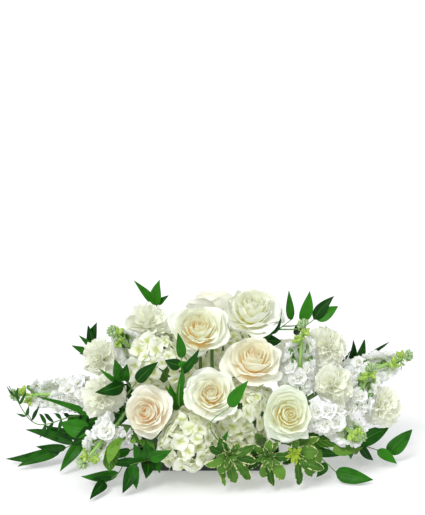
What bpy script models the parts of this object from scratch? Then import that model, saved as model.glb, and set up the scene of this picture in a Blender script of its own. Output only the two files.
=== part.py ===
"""A low table centrepiece of cut flowers: a dish with a taped block of floral foam that holds white roses,
hydrangea, stock and carnations among sprigs of ruscus, pittosporum, salal and a fern frond.

Lengths are in millimetres and become metres when a mesh is made. +Z is up, the front faces -Y, and the
origin is on the table under the middle of the dish. Every stem stands in its own hole in the foam.
"""

import math
from typing import NamedTuple

import bmesh
import bpy
import numpy as np
from mathutils.bvhtree import BVHTree

METRES = 0.001

# Dish, foam and tape
DISH_LENGTH = 250
DISH_WIDTH = 124
DISH_HEIGHT = 30
DISH_WALL = 2.4
DISH_FLOOR = 3
DISH_TAPER = 6
DISH_LIP = 3
DISH_LIP_DEPTH = 4
DISH_CORNER = 26
FOAM_LENGTH = 222
FOAM_WIDTH = 98
FOAM_TOP = 74
FOAM_CHAMFER = 12
FOAM_CORNER = 20
SEAT_GAP = 0.3
TAPE_WIDTH = 8
TAPE_THICKNESS = 0.9
TAPE_FOOT = 12

# Stems
STEM_DEPTH = 26
# how far a stem runs straight on out of the foam
STEM_COLLAR = 5
STEM_SIDES = 4
SPRIG_SIDES = 3
HOLE_CLEARANCE = 0.45
STEM_CLEARANCE = 1.1
ROSE_STEM_RADIUS = 3.2
HYDRANGEA_STEM_RADIUS = 3.4
CARNATION_STEM_RADIUS = 2.4
STOCK_STEM_RADIUS = 3.0
SPRIG_STEM_RADIUS = 1.5
# points on the curved part of each way
STEM_POINTS = 4
SPRIG_POINTS = 4
SHOOT_POINTS = 3

# Where the stems point to inside the foam, as a share of where their heads are
ROOT_SHARE_X = 0.42
ROOT_SHARE_Y = 0.24
ROOT_LIMIT_X = 88
ROOT_LIMIT_Y = 26
ROOT_HEIGHT = 48

# The mound that the heads and leaves face away from
MOUND_CENTRE = np.array((0, 0, 40))
MOUND_HALF_SIZES = np.array((300, 150, 270))

BLADE_THICKNESS = 1.5
HEAD_GAP = 2.6
SQUEEZE_KNEE = 0.78
LEAF_LIFT = 3.0
TABLE_CLEARANCE = 2.0
SLIVER = 0.02
GOLDEN_ANGLE = math.pi * (3 - math.sqrt(5))

# Heads: name, centre, radius, and the turn to the right of the front and the rise that they face, in degrees
ROSES = (
    ("rose_top", (76, 14, 276), 52, 10, 62),
    ("rose_crown", (-16, -45, 258), 51, -2, 46),
    ("rose_inner_right", (78, -70, 213), 48, 8, 52),
    ("rose_centre", (5, -130, 172), 45, 0, 36),
    ("rose_lower_left", (-102, -125, 137), 46, -14, 22),
    ("rose_lower_right", (136, -120, 132), 46, 8, 26),
    ("rose_back", (12, 72, 262), 50, 175, 50),
)
HYDRANGEAS = (
    ("hydrangea_front", (-34, -120, 88), 52, -8, 16),
    ("hydrangea_middle", (58, -76, 116), 64, 8, 28),
    ("hydrangea_left", (-84, -36, 194), 62, -18, 42),
    ("hydrangea_back", (22, 104, 150), 74, 176, 30),
)
CARNATIONS = (
    ("carnation_left_upper", (-191, -12, 196), 36, -25, 35),
    ("carnation_left_lower", (-181, -82, 150), 39, -18, 25),
    ("carnation_left_top", (-108, 12, 251), 41, -20, 50),
    ("carnation_right_upper", (211, -12, 219), 37, 20, 45),
    ("carnation_right_lower", (216, -70, 163), 40, 15, 25),
    ("carnation_right_end", (312, -30, 110), 36, 40, 5),
    ("carnation_back_left", (-116, 84, 158), 46, -160, 30),
    ("carnation_back_right", (162, 80, 165), 46, 155, 30),
)

# Flower spikes: name, where the lowest floret sits, the tip, radius, number of florets, and the share of the
# spike that has open florets, above which come the buds
STOCKS = (
    ("stock_left_end", (-212, -28, 136), (-342, -40, 136), 31, 8, 0.66),
    ("stock_left_upper", (-112, -16, 196), (-166, -60, 262), 30, 5, 0.60),
    ("stock_left_lower", (-156, -114, 110), (-212, -162, 58), 30, 6, 0.60),
    ("stock_right_upper", (158, -50, 150), (164, -34, 269), 33, 8, 0.62),
    ("stock_right_lower", (190, -92, 128), (262, -124, 90), 32, 8, 0.84),
    ("stock_right_middle", (255, -48, 112), (286, -36, 189), 30, 6, 0.62),
    ("stock_right_end", (250, 8, 148), (359, 10, 193), 31, 7, 0.70),
)


class Spray(NamedTuple):
    """Leaves on alternate sides of a shoot, from a share of its length to its tip."""
    leaves: int
    length: float
    width: float
    begin: float


# Leafy stems: kind, name and shoots. The first shoot stands in the foam, and the others branch from it at the
# share of its length that they start with. Then come the points on a shoot's way, its tip, and its leaves: a
# spray, or for each leaf the share of the shoot where it grows, its tip and its width.
SPRIGS = (
    ("ruscus", "ruscus_top_left", (
        (None, ((-86, 66, 193), (-90, 60, 247)), (-93, 52, 277), (
            (0.97, (-134, 52, 317), 13), (0.98, (-84, 52, 320), 18), (0.99, (-70, 52, 290), 10),
        )),
    )),
    ("ruscus", "ruscus_left", (
        (None, ((-160, 38, 150),), (-212, 30, 202), (
            (0.70, (-232, 18, 176), 14), (0.84, (-243, 18, 205), 17), (0.90, (-230, 18, 227), 11),
            (0.95, (-210, 18, 245), 17), (0.98, (-194, 18, 250), 18),
        )),
    )),
    ("ruscus", "ruscus_left_front", (
        (None, ((-134, -62, 105), (-142, -74, 158)), (-145, -98, 187), (
            (0.84, (-183, -112, 212), 9), (0.90, (-189, -122, 172), 20), (0.95, (-155, -118, 230), 20),
            (0.98, (-135, -118, 221), 17),
        )),
        (0.72, (), (-119, -108, 188), ((0.97, (-82, -122, 226), 18),)),
    )),
    ("ruscus", "ruscus_centre", (
        (None, ((-39, -96, 103), (-49, -118, 157), (-45, -114, 201)), (-43, -114, 239), (
            (0.45, (-91, -150, 146), 11), (0.52, (-64, -112, 184), 16), (0.60, (-23, -128, 213), 14),
            (0.85, (-14, -112, 246), 12), (0.90, (-72, -112, 226), 17), (0.95, (-40, -112, 210), 14),
            (0.97, (-50, -112, 274), 14),
        )),
    )),
    ("ruscus", "ruscus_middle", (
        (None, ((14, -120, 64), (4, -166, 133)), (40, -178, 171), (
            (0.60, (34, -178, 127), 8), (0.97, (66, -178, 213), 18),
        )),
    )),
    ("ruscus", "ruscus_top_right", (
        (None, ((77, -18, 221), (106, -4, 232)), (150, 6, 263), (
            (0.60, (76, 6, 243), 13), (0.66, (125, 6, 256), 19),
            (0.72, (130, 6, 219), 18), (0.80, (125, 6, 284), 14), (0.98, (140, 6, 313), 13),
        )),
        (0.90, ((156, -6, 254),), (168, 0, 260), (
            (0.50, (160, 6, 232), 20), (0.98, (177, 6, 313), 19),
        )),
        (0.86, ((160, -12, 250), (178, -6, 258)), (190, 2, 266), (
            (0.98, (229, 6, 284), 21), (0.90, (221, 6, 303), 17),
        )),
    )),
    ("ruscus", "ruscus_right", (
        (None, ((204, 44, 110), (240, 56, 144)), (280, 50, 162), (
            (0.60, (251, 34, 194), 13), (0.67, (230, 34, 183), 16), (0.75, (272, 34, 185), 13),
            (0.85, (256, 34, 213), 17), (0.93, (277, 34, 213), 21), (0.98, (323, 34, 211), 10),
        )),
    )),
    ("ruscus", "ruscus_trail_left", (
        (None, ((-153, -60, 89), (-211, -50, 60)), (-271, -30, 25), (
            (0.55, (-256, -20, 92), 22), (0.68, (-295, -14, 72), 16), (0.76, (-257, -78, 8), 18),
            (0.84, (-326, -8, 60), 15), (0.90, (-306, -30, 36), 13), (0.95, (-360, -30, 12), 18),
            (0.98, (-335, -56, 8), 18),
        )),
        (0.20, ((-172, -76, 96),), (-206, -84, 90), (
            (0.45, (-293, -76, 149), 11), (0.98, (-258, -64, 95), 28), (0.75, (-236, -86, 62), 27),
        )),
        (0.40, (), (-222, 70, 24), Spray(4, 58, 27, 0.3)),
    )),
    ("ruscus", "ruscus_front_left", (
        (None, ((-100, -104, 42), (-113, -135, 52)), (-131, -150, 53), (
            (0.40, (-80, -152, 40), 22), (0.62, (-104, -154, 30), 21), (0.76, (-124, -146, 90), 18),
            (0.85, (-168, -150, 55), 14), (0.92, (-143, -164, 8), 20), (0.98, (-120, -158, 13), 15),
        )),
        (0.50, (), (-100, -162, 72), ((0.70, (-104, -156, 98), 20), (0.98, (-60, -178, 92), 18))),
    )),
    ("ruscus", "ruscus_trail_front_left", (
        (None, ((-137, -108, 58), (-150, -128, 32)), (-176, -140, 14), (
            (0.55, (-182, -140, 67), 14), (0.80, (-218, -118, 18), 16), (0.90, (-198, -140, 23), 8),
            (0.97, (-196, -186, 7), 16),
        )),
    )),
    ("ruscus", "ruscus_trail_right", (
        (None, ((231, -56, 66), (272, -44, 44)), (331, -22, 16), (
            (0.58, (296, -22, 50), 17), (0.62, (254, -30, 10), 15), (0.70, (325, -22, 76), 24),
            (0.74, (294, -30, 8), 13), (0.88, (334, -44, 8), 16), (0.97, (361, -22, 66), 27),
        )),
        (0.70, (), (290, 66, 18), Spray(4, 56, 27, 0.3)),
    )),
    ("ruscus", "ruscus_trail_front_right", (
        (None, ((173, -92, 59), (202, -100, 37)), (223, -100, 16), (
            (0.60, (234, -104, 52), 14), (0.80, (187, -104, 10), 14), (0.97, (284, -118, 12), 24),
        )),
    )),
    ("ruscus", "ruscus_back", (
        (None, ((-75, 80, 96), (-120, 112, 76)), (-190, 130, 50), Spray(6, 68, 32, 0.3)),
        (0.25, (), (-60, 150, 24), Spray(5, 66, 34, 0.3)),
    )),
    ("pittosporum", "pittosporum_front", (
        (None, ((34, -110, 72),), (37, -160, 75), (
            (0.60, (29, -160, 17), 12), (1.0, (27, -160, 109), 16), (1.0, (52, -160, 94), 15),
            (1.0, (77, -160, 92), 17), (1.0, (81, -160, 63), 17), (1.0, (71, -160, 30), 17),
            (1.0, (46, -160, 25), 19), (1.0, (19, -160, 43), 17), (1.0, (-3, -160, 57), 15),
            (1.0, (2, -160, 90), 15),
        )),
    )),
    ("pittosporum", "pittosporum_front_right", (
        (None, ((93, -100, 66),), (101, -148, 68), (
            (0.55, (80, -148, 110), 20), (0.62, (124, -148, 104), 18), (0.80, (66, -148, 76), 19),
            (0.90, (67, -148, 45), 16), (1.0, (93, -148, 30), 20), (1.0, (128, -148, 26), 22),
            (1.0, (111, -148, 14), 13), (1.0, (140, -148, 70), 18), (1.0, (104, -156, 100), 16),
        )),
    )),
    ("pittosporum", "pittosporum_right", (
        (None, ((141, -96, 66),), (147, -145, 70), (
            (0.60, (190, -138, 98), 16), (0.75, (126, -145, 52), 20), (0.90, (187, -145, 76), 25),
            (0.95, (198, -145, 42), 18), (1.0, (155, -145, 14), 14), (1.0, (176, -145, 30), 15),
            (1.0, (144, -145, 104), 15),
        )),
    )),
    ("salal", "salal_left", (
        (None, ((-142, -104, 80),), (-158, -152, 96), (
            (0.55, (-122, -150, 92), 22), (0.70, (-132, -160, 54), 24), (0.80, (-184, -150, 46), 22),
            (0.98, (-164, -170, 50), 32),
        )),
    )),
    ("salal", "salal_right", (
        (None, ((180, -84, 62),), (216, -112, 60), (
            (0.50, (236, -126, 58), 26), (0.72, (194, -124, 24), 22), (0.98, (262, -112, 80), 28),
        )),
    )),
    ("salal", "salal_back", (
        (None, ((40, 100, 62),), (80, 150, 36), Spray(5, 84, 52, 0.40)),
        (0.45, (), (150, 118, 34), Spray(4, 80, 50, 0.30)),
    )),
    ("fern", "fern_left", (
        (None, ((-160, -35, 92), (-234, -46, 100), (-300, -58, 90)), (-346, -52, 158), Spray(14, 30, 7, 0.36)),
    )),
)

COLOURS = {
    "dish": (0.03, 0.09, 0.05, 1),
    "foam": (0.10, 0.26, 0.13, 1),
    "tape": (0.12, 0.30, 0.15, 1),
    "rose": (0.95, 0.89, 0.76, 1),
    "hydrangea": (0.91, 0.92, 0.80, 1),
    "carnation": (0.93, 0.94, 0.86, 1),
    "stock": (0.93, 0.94, 0.92, 1),
    "stem": (0.20, 0.36, 0.12, 1),
    "ruscus": (0.06, 0.27, 0.06, 1),
    "pittosporum": (0.20, 0.38, 0.15, 1),
    "salal": (0.22, 0.42, 0.12, 1),
    "fern": (0.05, 0.20, 0.05, 1),
}
PETAL_ROUGHNESS = 0.6
LEAF_ROUGHNESS = 0.4


def unit(vector):
    return vector / np.linalg.norm(vector)


def point(values):
    return np.array(values, float)


# Frames and fields

def facing(turn, rise):
    """The direction that a head faces: turned to the right of the front, and raised, in degrees."""
    turn, rise = math.radians(turn), math.radians(rise)
    return np.array((math.sin(turn) * math.cos(rise), -math.cos(turn) * math.cos(rise), math.sin(rise)))


def outward(place):
    """The direction away from the mound at a place."""
    return unit((place - MOUND_CENTRE) / MOUND_HALF_SIZES**2)


def frame_at(origin, axis, roll=0.0):
    """A function that takes local points, with +Z along axis, to their place."""
    side = unit(np.cross(axis, (0.31, 0.17, 0.94) if abs(axis[2]) < 0.9 else (1.0, 0.2, 0.1)))
    other = np.cross(axis, side)
    right = side * math.cos(roll) + other * math.sin(roll)
    turned = np.stack((right, np.cross(axis, right), axis))
    return lambda points: np.asarray(points, float) @ turned + origin


class Mass:
    """The room that a head takes: every point within a radius of the line from start to end."""

    def __init__(self, name, start, end, radius):
        self.name, self.start, self.end, self.radius = name, point(start), point(end), radius

    def nearest(self, places):
        """The nearest points on the line to some places."""
        along = self.end - self.start
        length = along @ along
        if length < 1e-9:
            return np.broadcast_to(self.start, np.shape(places))
        share = np.clip((places - self.start) @ along / length, 0, 1)
        return self.start + share[..., None] * along


def closest_pair(first, second):
    """The two points where the lines of two masses come closest."""
    here = (first.start + first.end) / 2
    for _ in range(40):
        there = second.nearest(here[None])[0]
        here = first.nearest(there[None])[0]
    return here, there


def contacts_of(mass, masses):
    """The planes at which a mass meets its neighbours, as (point, normal, distance)."""
    planes = []
    for other in masses:
        if other is mass:
            continue
        here, there = closest_pair(mass, other)
        distance = np.linalg.norm(there - here)
        if distance < mass.radius + other.radius + HEAD_GAP:
            limit = distance * mass.radius / (mass.radius + other.radius) - HEAD_GAP / 2
            planes.append((here, (there - here) / distance, limit))
    return planes


def squeezed(points, planes):
    """The points pressed back behind each plane, as petals that push against a neighbour are."""
    points = np.array(points, float)
    for _ in range(3):
        for origin, normal, limit in planes:
            reach = (points - origin) @ normal
            knee = SQUEEZE_KNEE * limit
            room = limit - knee
            pressed = knee + room * (1 - np.exp(-np.maximum(reach - knee, 0) / room))
            points += np.where(reach > knee, pressed - reach, 0)[..., None] * normal
    return points


def lifted(points, masses, share):
    """Leaf points moved out of the heads and off the table. share is 0 where a point has to stay."""
    points = np.array(points, float)
    for _ in range(3):
        for mass in masses:
            away = points - mass.nearest(points)
            distance = np.linalg.norm(away, axis=-1, keepdims=True) + 1e-6
            short = np.maximum(mass.radius + LEAF_LIFT - distance, 0)
            points += away / distance * short * share[..., None]
    points[..., 2] = np.maximum(points[..., 2], TABLE_CLEARANCE + BLADE_THICKNESS)
    return points


# Closed meshes, as (points, faces)

def strip(lower, upper):
    """Triangles between two rows of point numbers, which may differ in length."""
    triangles, i, j = [], 0, 0
    while i < len(lower) - 1 or j < len(upper) - 1:
        step_lower = (i + 1) / max(len(lower) - 1, 1e-9) if i < len(lower) - 1 else 9
        step_upper = (j + 1) / max(len(upper) - 1, 1e-9) if j < len(upper) - 1 else 9
        if step_lower <= step_upper:
            triangles.append((lower[i], lower[i + 1], upper[j]))
            i += 1
        else:
            triangles.append((lower[i], upper[j + 1], upper[j]))
            j += 1
    return triangles


def blade(rows, thickness=BLADE_THICKNESS):
    """A leaf or petal from the rows of its middle surface, thickest inside and closed round its rim."""
    rows = [np.atleast_2d(row) for row in rows]
    points, top, bottom = [], [], []
    for r, row in enumerate(rows):
        top_row, bottom_row = [], []
        for c, place in enumerate(row):
            if 0 < r < len(rows) - 1 and 0 < c < len(row) - 1:
                ahead, behind = rows[r + 1], rows[r - 1]
                share = c / (len(row) - 1)
                along = ahead[round(share * (len(ahead) - 1))] - behind[round(share * (len(behind) - 1))]
                normal = unit(np.cross(row[c + 1] - row[c - 1], along)) * thickness / 2
                top_row.append(len(points))
                bottom_row.append(len(points) + 1)
                points += [place + normal, place - normal]
            else:
                top_row.append(len(points))
                bottom_row.append(len(points))
                points.append(place)
        top.append(top_row)
        bottom.append(bottom_row)
    faces = []
    for upper, lower in ((1, 0),) if len(rows) == 1 else zip(range(1, len(rows)), range(len(rows) - 1)):
        faces += strip(top[lower], top[upper])
        faces += [face[::-1] for face in strip(bottom[lower], bottom[upper])]
    return np.array(points), faces


def lathe(profile, sides):
    """A turned solid from (radius, height) pairs, which run from the bottom to the top."""
    turns = np.arange(sides) * 2 * math.pi / sides
    points = [(r * math.cos(a), r * math.sin(a), z) for r, z in profile for a in turns]
    rings = [list(range(k * sides, (k + 1) * sides)) for k in range(len(profile))]
    return np.array(points), closed_rings(rings)


def closed_rings(rings):
    """Faces that join rings of equal length and cap both ends."""
    faces = [tuple(rings[0][::-1]), tuple(rings[-1])]
    for low, high in zip(rings, rings[1:]):
        for k in range(len(low)):
            n = (k + 1) % len(low)
            faces.append((low[k], low[n], high[n], high[k]))
    return faces


def tube(path, radii, sides):
    """A stem along a path, with a radius at each of its points."""
    path = np.asarray(path, float)
    steps = np.diff(path, axis=0)
    steps /= np.linalg.norm(steps, axis=1)[:, None]
    along = np.vstack((steps[:1], steps[:-1] + steps[1:], steps[-1:]))
    along /= np.linalg.norm(along, axis=1)[:, None]
    side = np.cross(along[0], (0.2, 0.9, 0.3))
    points = []
    for place, direction, radius in zip(path, along, radii):
        side = unit(side - (side @ direction) * direction)
        other = np.cross(direction, side)
        for k in range(sides):
            angle = 2 * math.pi * k / sides
            points.append(place + radius * (math.cos(angle) * side + math.sin(angle) * other))
    rings = [list(range(k * sides, (k + 1) * sides)) for k in range(len(path))]
    return np.array(points), closed_rings(rings)


def curve_through(places, count):
    """count points on a smooth curve through some places, with centripetal spacing."""
    places = [point(p) for p in places]
    places = [2 * places[0] - places[1], *places, 2 * places[-1] - places[-2]]
    knots = [0.0]
    for a, b in zip(places, places[1:]):
        knots.append(knots[-1] + math.sqrt(np.linalg.norm(b - a)))
    curve = []
    for share in np.linspace(0, 1, count):
        t = knots[1] + share * (knots[-2] - knots[1])
        k = min(max(1, np.searchsorted(knots, t, side="right") - 1), len(places) - 3)
        level = places[k - 1:k + 3]
        spans = knots[k - 1:k + 3]
        for depth in (1, 2, 3):
            level = [
                blend_between(level[m], level[m + 1], spans, m, depth, t)
                for m in range(4 - depth)
            ]
        curve.append(level[0])
    return np.array(curve)


def blend_between(first, second, spans, m, depth, t):
    """One step of the pyramid that evaluates the smooth curve."""
    low, high = (spans[m], spans[m + depth]) if depth < 3 else (spans[1], spans[2])
    share = (t - low) / (high - low)
    return first * (1 - share) + second * share


# Stems

def root_of(place, shift):
    """The point in the foam that a stem to a place aims at."""
    x = np.clip(ROOT_SHARE_X * place[0], -ROOT_LIMIT_X, ROOT_LIMIT_X)
    y = np.clip(ROOT_SHARE_Y * place[1], -ROOT_LIMIT_Y, ROOT_LIMIT_Y)
    return np.array((x + shift[0], y + shift[1], ROOT_HEIGHT + shift[1] * 0.4))


def stem_ends(place, shift):
    """Where a stem to a place ends inside the foam, and where it comes out of it."""
    root = root_of(place, shift)
    along = unit(place - root)
    half = np.array((FOAM_LENGTH / 2, FOAM_WIDTH / 2, FOAM_TOP))
    edge = np.where(along > 0, half, np.array((-half[0], -half[1], DISH_FLOOR)))
    travel = np.min((edge - root)[np.abs(along) > 1e-6] / along[np.abs(along) > 1e-6])
    surface = root + along * travel
    return surface - along * min(STEM_DEPTH, travel + 14), surface


ROOT_SHIFTS = [(0, 0)] + [(r * math.cos(a), r * math.sin(a)) for r in (9, 17) for a in np.arange(0, 6.2, 0.785)]
SIDEWAYS = ((0, 0, 1), (1, 0, 0), (-1, 0, 0), (0, 1, 0), (0, -1, 0), (0, 0, -1), (0.7, 0.7, 0), (-0.7, 0.7, 0),
            (0.7, -0.7, 0), (-0.7, -0.7, 0))
BULGES = [point((0, 0, 0))] + [point(way) * size for size in (10, 20, 32) for way in SIDEWAYS]


def stem_paths(ways, arrive, count):
    """Paths from the foam to the last of ways, nearest to plain first, each with its end inside the foam."""
    for bulge in BULGES:
        for shift in ROOT_SHIFTS:
            inside, surface = stem_ends(point(ways[0]), shift)
            out = surface + unit(surface - inside) * STEM_COLLAR
            places = [out, *(point(w) for w in ways)]
            if arrive is not None:
                reach = np.linalg.norm(places[-1] - out)
                places.insert(-1, places[-1] - arrive * 0.3 * reach + bulge)
            else:
                places[1] = places[1] + bulge
            yield inside, surface, np.vstack((inside, curve_through(places, count)))


class Arrangement:
    """The pieces made so far, so that each new one is laid clear of them."""

    def __init__(self):
        self.masses = []
        self.trees = {}
        self.holes = []

    def mass(self, name):
        return next(mass for mass in self.masses if mass.name == name)

    def clear(self, points, faces, own, through_foam=False):
        """Whether a mesh crosses none of the pieces, other than its own and the foam that it stands in."""
        tree = BVHTree.FromPolygons([tuple(p) for p in points], faces)
        for name, other in self.trees.items():
            passes = name.startswith(own) or (through_foam and name == "foam")
            if not passes and tree.overlap(other):
                return False
        return True

    def keep(self, name, points, faces):
        self.trees[name] = BVHTree.FromPolygons([tuple(p) for p in points], faces)

    def remember(self, obj):
        points = [tuple(v.co / METRES) for v in obj.data.vertices]
        self.keep(obj.name, points, [tuple(p.vertices) for p in obj.data.polygons])

    def stem(self, name, ways, arrive, radius, count=STEM_POINTS, sides=STEM_SIDES):
        """The path of a stem that crosses nothing, with its hole in the foam noted."""
        for inside, surface, path in stem_paths(ways, arrive, count):
            wide = tube(path, [radius + STEM_CLEARANCE] * len(path), sides)
            above = tube(path[1:], [radius + STEM_CLEARANCE] * (len(path) - 1), sides)
            if self.clear(*wide, name, through_foam=True) and self.clear(*above, name):
                break
        else:
            print("no clear way for", name)
        self.keep(name + "_way", *wide)
        along = unit(surface - inside)
        ends = (inside - along * SEAT_GAP, surface + along * STEM_COLLAR)
        self.holes.append(tube(ends, [radius + HOLE_CLEARANCE] * 2, sides))
        return path


# Objects

def material(kind, roughness):
    made = bpy.data.materials.get(kind)
    if made is None:
        made = bpy.data.materials.new(kind)
        made.use_nodes = True
        shader = made.node_tree.nodes["Principled BSDF"]
        shader.inputs["Base Color"].default_value = COLOURS[kind]
        shader.inputs["Roughness"].default_value = roughness
    return made


def raw_object(name, points, faces):
    mesh = bpy.data.meshes.new(name)
    mesh.from_pydata([tuple(p) for p in np.asarray(points) * METRES], [], [tuple(f) for f in faces])
    bm = bmesh.new()
    bm.from_mesh(mesh)
    bmesh.ops.recalc_face_normals(bm, faces=bm.faces)
    bm.to_mesh(mesh)
    bm.free()
    return bpy.data.objects.new(name, mesh)


def tidy(mesh):
    """Closes slivers and keeps the largest connected body of a mesh."""
    bm = bmesh.new()
    bm.from_mesh(mesh)
    bmesh.ops.triangulate(bm, faces=bm.faces)
    bmesh.ops.dissolve_degenerate(bm, dist=SLIVER * METRES, edges=bm.edges)
    bmesh.ops.triangulate(bm, faces=bm.faces)
    left, bodies = set(bm.verts), []
    while left:
        body, edge = set(), [left.pop()]
        while edge:
            vertex = edge.pop()
            body.add(vertex)
            for link in vertex.link_edges:
                other = link.other_vert(vertex)
                if other in left:
                    left.discard(other)
                    edge.append(other)
        bodies.append(body)
    bodies.sort(key=len)
    for body in bodies[:-1]:
        bmesh.ops.delete(bm, geom=list(body), context="VERTS")
    bm.to_mesh(mesh)
    bm.free()


def faults_of(mesh):
    """How many edges of a mesh don't join exactly two faces."""
    bm = bmesh.new()
    bm.from_mesh(mesh)
    faults = sum(len(edge.link_faces) != 2 for edge in bm.edges)
    bm.free()
    return faults


def combined(obj, helpers, operation, solver):
    """The mesh of an object with a collection's objects joined to it, or cut from it."""
    join = obj.modifiers.new("join", "BOOLEAN")
    join.operation, join.operand_type, join.collection, join.solver = operation, "COLLECTION", helpers, solver
    mesh = bpy.data.meshes.new_from_object(obj.evaluated_get(bpy.context.evaluated_depsgraph_get()))
    obj.modifiers.remove(join)
    tidy(mesh)
    return mesh


def node(name, kind, roughness, solids, operation="UNION"):
    """One named object: the first solid with the others joined to it, or cut from it."""
    obj = raw_object(name, *solids[0])
    bpy.context.scene.collection.objects.link(obj)
    if len(solids) > 1:
        helpers = bpy.data.collections.new(name + "_helpers")
        bpy.context.scene.collection.children.link(helpers)
        for k, solid in enumerate(solids[1:]):
            helpers.objects.link(raw_object(f"{name}_helper_{k}", *solid))
        mesh = combined(obj, helpers, operation, "MANIFOLD")
        if faults_of(mesh):
            mesh = combined(obj, helpers, operation, "EXACT")
        if faults_of(mesh):
            print("open edges in", name)
        obj.data = mesh
        for helper in list(helpers.objects):
            bpy.data.objects.remove(helper)
        bpy.data.collections.remove(helpers)
    obj.data.materials.clear()
    obj.data.materials.append(material(kind, roughness))
    return obj


# Dish, foam and tape

def rounded_outline(length, width, corner, height):
    """A rectangle with round corners, three points to a corner."""
    ring = []
    for quarter in range(4):
        angle = quarter * math.pi / 2
        sx, sy = (1, 1, -1, -1)[quarter], (-1, 1, 1, -1)[quarter]
        for k in range(3):
            turn = angle - math.pi / 2 + k * math.pi / 4
            x = sx * (length / 2 - corner) + corner * math.cos(turn)
            y = sy * (width / 2 - corner) + corner * math.sin(turn)
            ring.append((x, y, height))
    return ring


def dish():
    top = DISH_HEIGHT
    sizes = (
        (-2 * DISH_TAPER, 0), (0, top - DISH_LIP_DEPTH - 2), (DISH_LIP, top - DISH_LIP_DEPTH), (DISH_LIP, top),
        (-2 * DISH_WALL, top), (-2 * DISH_TAPER - 2 * DISH_WALL, DISH_FLOOR),
    )
    points, rings = [], []
    for grow, height in sizes:
        ring = rounded_outline(DISH_LENGTH + grow, DISH_WIDTH + grow, DISH_CORNER, height)
        rings.append(list(range(len(points), len(points) + len(ring))))
        points += ring
    return node("dish", "dish", LEAF_ROUGHNESS, [(points, closed_rings(rings))])


def foam_block():
    low = DISH_FLOOR + SEAT_GAP
    sizes = ((0, low), (0, FOAM_TOP - FOAM_CHAMFER), (-2 * FOAM_CHAMFER, FOAM_TOP))
    points, rings = [], []
    for grow, height in sizes:
        ring = rounded_outline(FOAM_LENGTH + grow, FOAM_WIDTH + grow, FOAM_CORNER, height)
        rings.append(list(range(len(points), len(points) + len(ring))))
        points += ring
    return points, closed_rings(rings)


def tape_line(offset):
    """The way of the tape over the foam and down outside the dish, in the plane across its length."""
    half = FOAM_WIDTH / 2 + offset
    top = FOAM_TOP + offset
    rim = DISH_WIDTH / 2 + DISH_LIP / 2 + offset
    foot = DISH_WIDTH / 2 - DISH_WALL + offset
    side = [
        (foot, TAPE_FOOT), (rim, DISH_HEIGHT - DISH_LIP_DEPTH - 1 - offset * 0.3), (rim, DISH_HEIGHT + offset),
        (half, FOAM_TOP - FOAM_CHAMFER + 2 + offset), (half - FOAM_CHAMFER, top),
    ]
    return [(-y, z) for y, z in side] + side[::-1]


def tape():
    inner, outer = tape_line(SEAT_GAP), tape_line(SEAT_GAP + TAPE_THICKNESS)
    rings, points = [], []
    for (y0, z0), (y1, z1) in zip(inner, outer):
        rings.append(list(range(len(points), len(points) + 4)))
        half = TAPE_WIDTH / 2
        points += [(-half, y0, z0), (half, y0, z0), (half, y1, z1), (-half, y1, z1)]
    return node("tape", "tape", LEAF_ROUGHNESS, [(points, closed_rings(rings))])


# Roses

ROSE_CENTRE_SHARE = 0.62
ROSE_CORE = ((0.13, 0.0), (0.38, 0.20), (0.52, 0.46), (0.50, 0.70), (0.30, 0.82))
ROSE_RINGS = (
    # petals, points across each, share of the turn it spans, (radius, height) at its root, middle and edge
    (2, 3, 0.92, (0.14, 0.66), (0.22, 0.98), (0.19, 1.16)),
    (3, 3, 0.92, (0.26, 0.62), (0.42, 0.98), (0.47, 1.14)),
    (4, 3, 0.90, (0.38, 0.50), (0.66, 0.88), (0.77, 1.04)),
    (5, 4, 0.94, (0.28, 0.24), (0.84, 0.62), (1.04, 0.74)),
)
# below the bloom, in millimetres: heights and radii of the hip, and the reach and height of the sepals
ROSE_HIP = ((-7, 6.5), (-SEAT_GAP, 5.6))
ROSE_HIP_FOOT = 14
SEPALS = 5
SEPAL_TIP = (25, -9)
SEPAL_NOTCH = (8, -5)
SEPAL_MIDDLE = (-3, -9)


def rose_petal(turn, columns, span, root, middle, edge, radius):
    """The rows of a petal that wraps round the bloom's axis."""
    rows = []
    for (across, height), width, columns in ((root, 0.62, 2), (middle, 1.0, columns), (edge, 0.72, columns)):
        angles = turn + np.linspace(-1, 1, columns) * span * width / 2
        dip = 0.06 * np.abs(np.linspace(-1, 1, columns)) ** 2 if width < 0.8 else 0
        rows.append([
            (radius * across * math.cos(a), radius * across * math.sin(a), radius * z)
            for a, z in zip(angles, height - dip * np.ones(columns))
        ])
    return rows


def rose(arrangement, name, centre, radius, turn, rise, roll):
    """The bloom, with its petals in rings round a cup, and the stem with its sepals below it."""
    axis = facing(turn, rise)
    seat = point(centre) - axis * radius * ROSE_CENTRE_SHARE
    place = frame_at(seat, axis, roll)
    planes = contacts_of(arrangement.mass(name), arrangement.masses)
    core, core_faces = lathe([(radius * r, radius * z) for r, z in ROSE_CORE], 6)
    solids = [(squeezed(place(core), planes), core_faces)]
    for ring, (count, columns, share, *profile) in enumerate(ROSE_RINGS):
        for k in range(count):
            turned = 2 * math.pi * (k + 0.5 * (ring % 2)) / count + 0.35 * ring
            rows = rose_petal(turned, columns, 2 * math.pi / count * share, *profile, radius)
            solids.append(blade([squeezed(place(row), planes) for row in rows]))
    bloom = node(name + "_bloom", "rose", PETAL_ROUGHNESS, solids)
    arrangement.remember(bloom)
    return seat, axis, place


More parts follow.
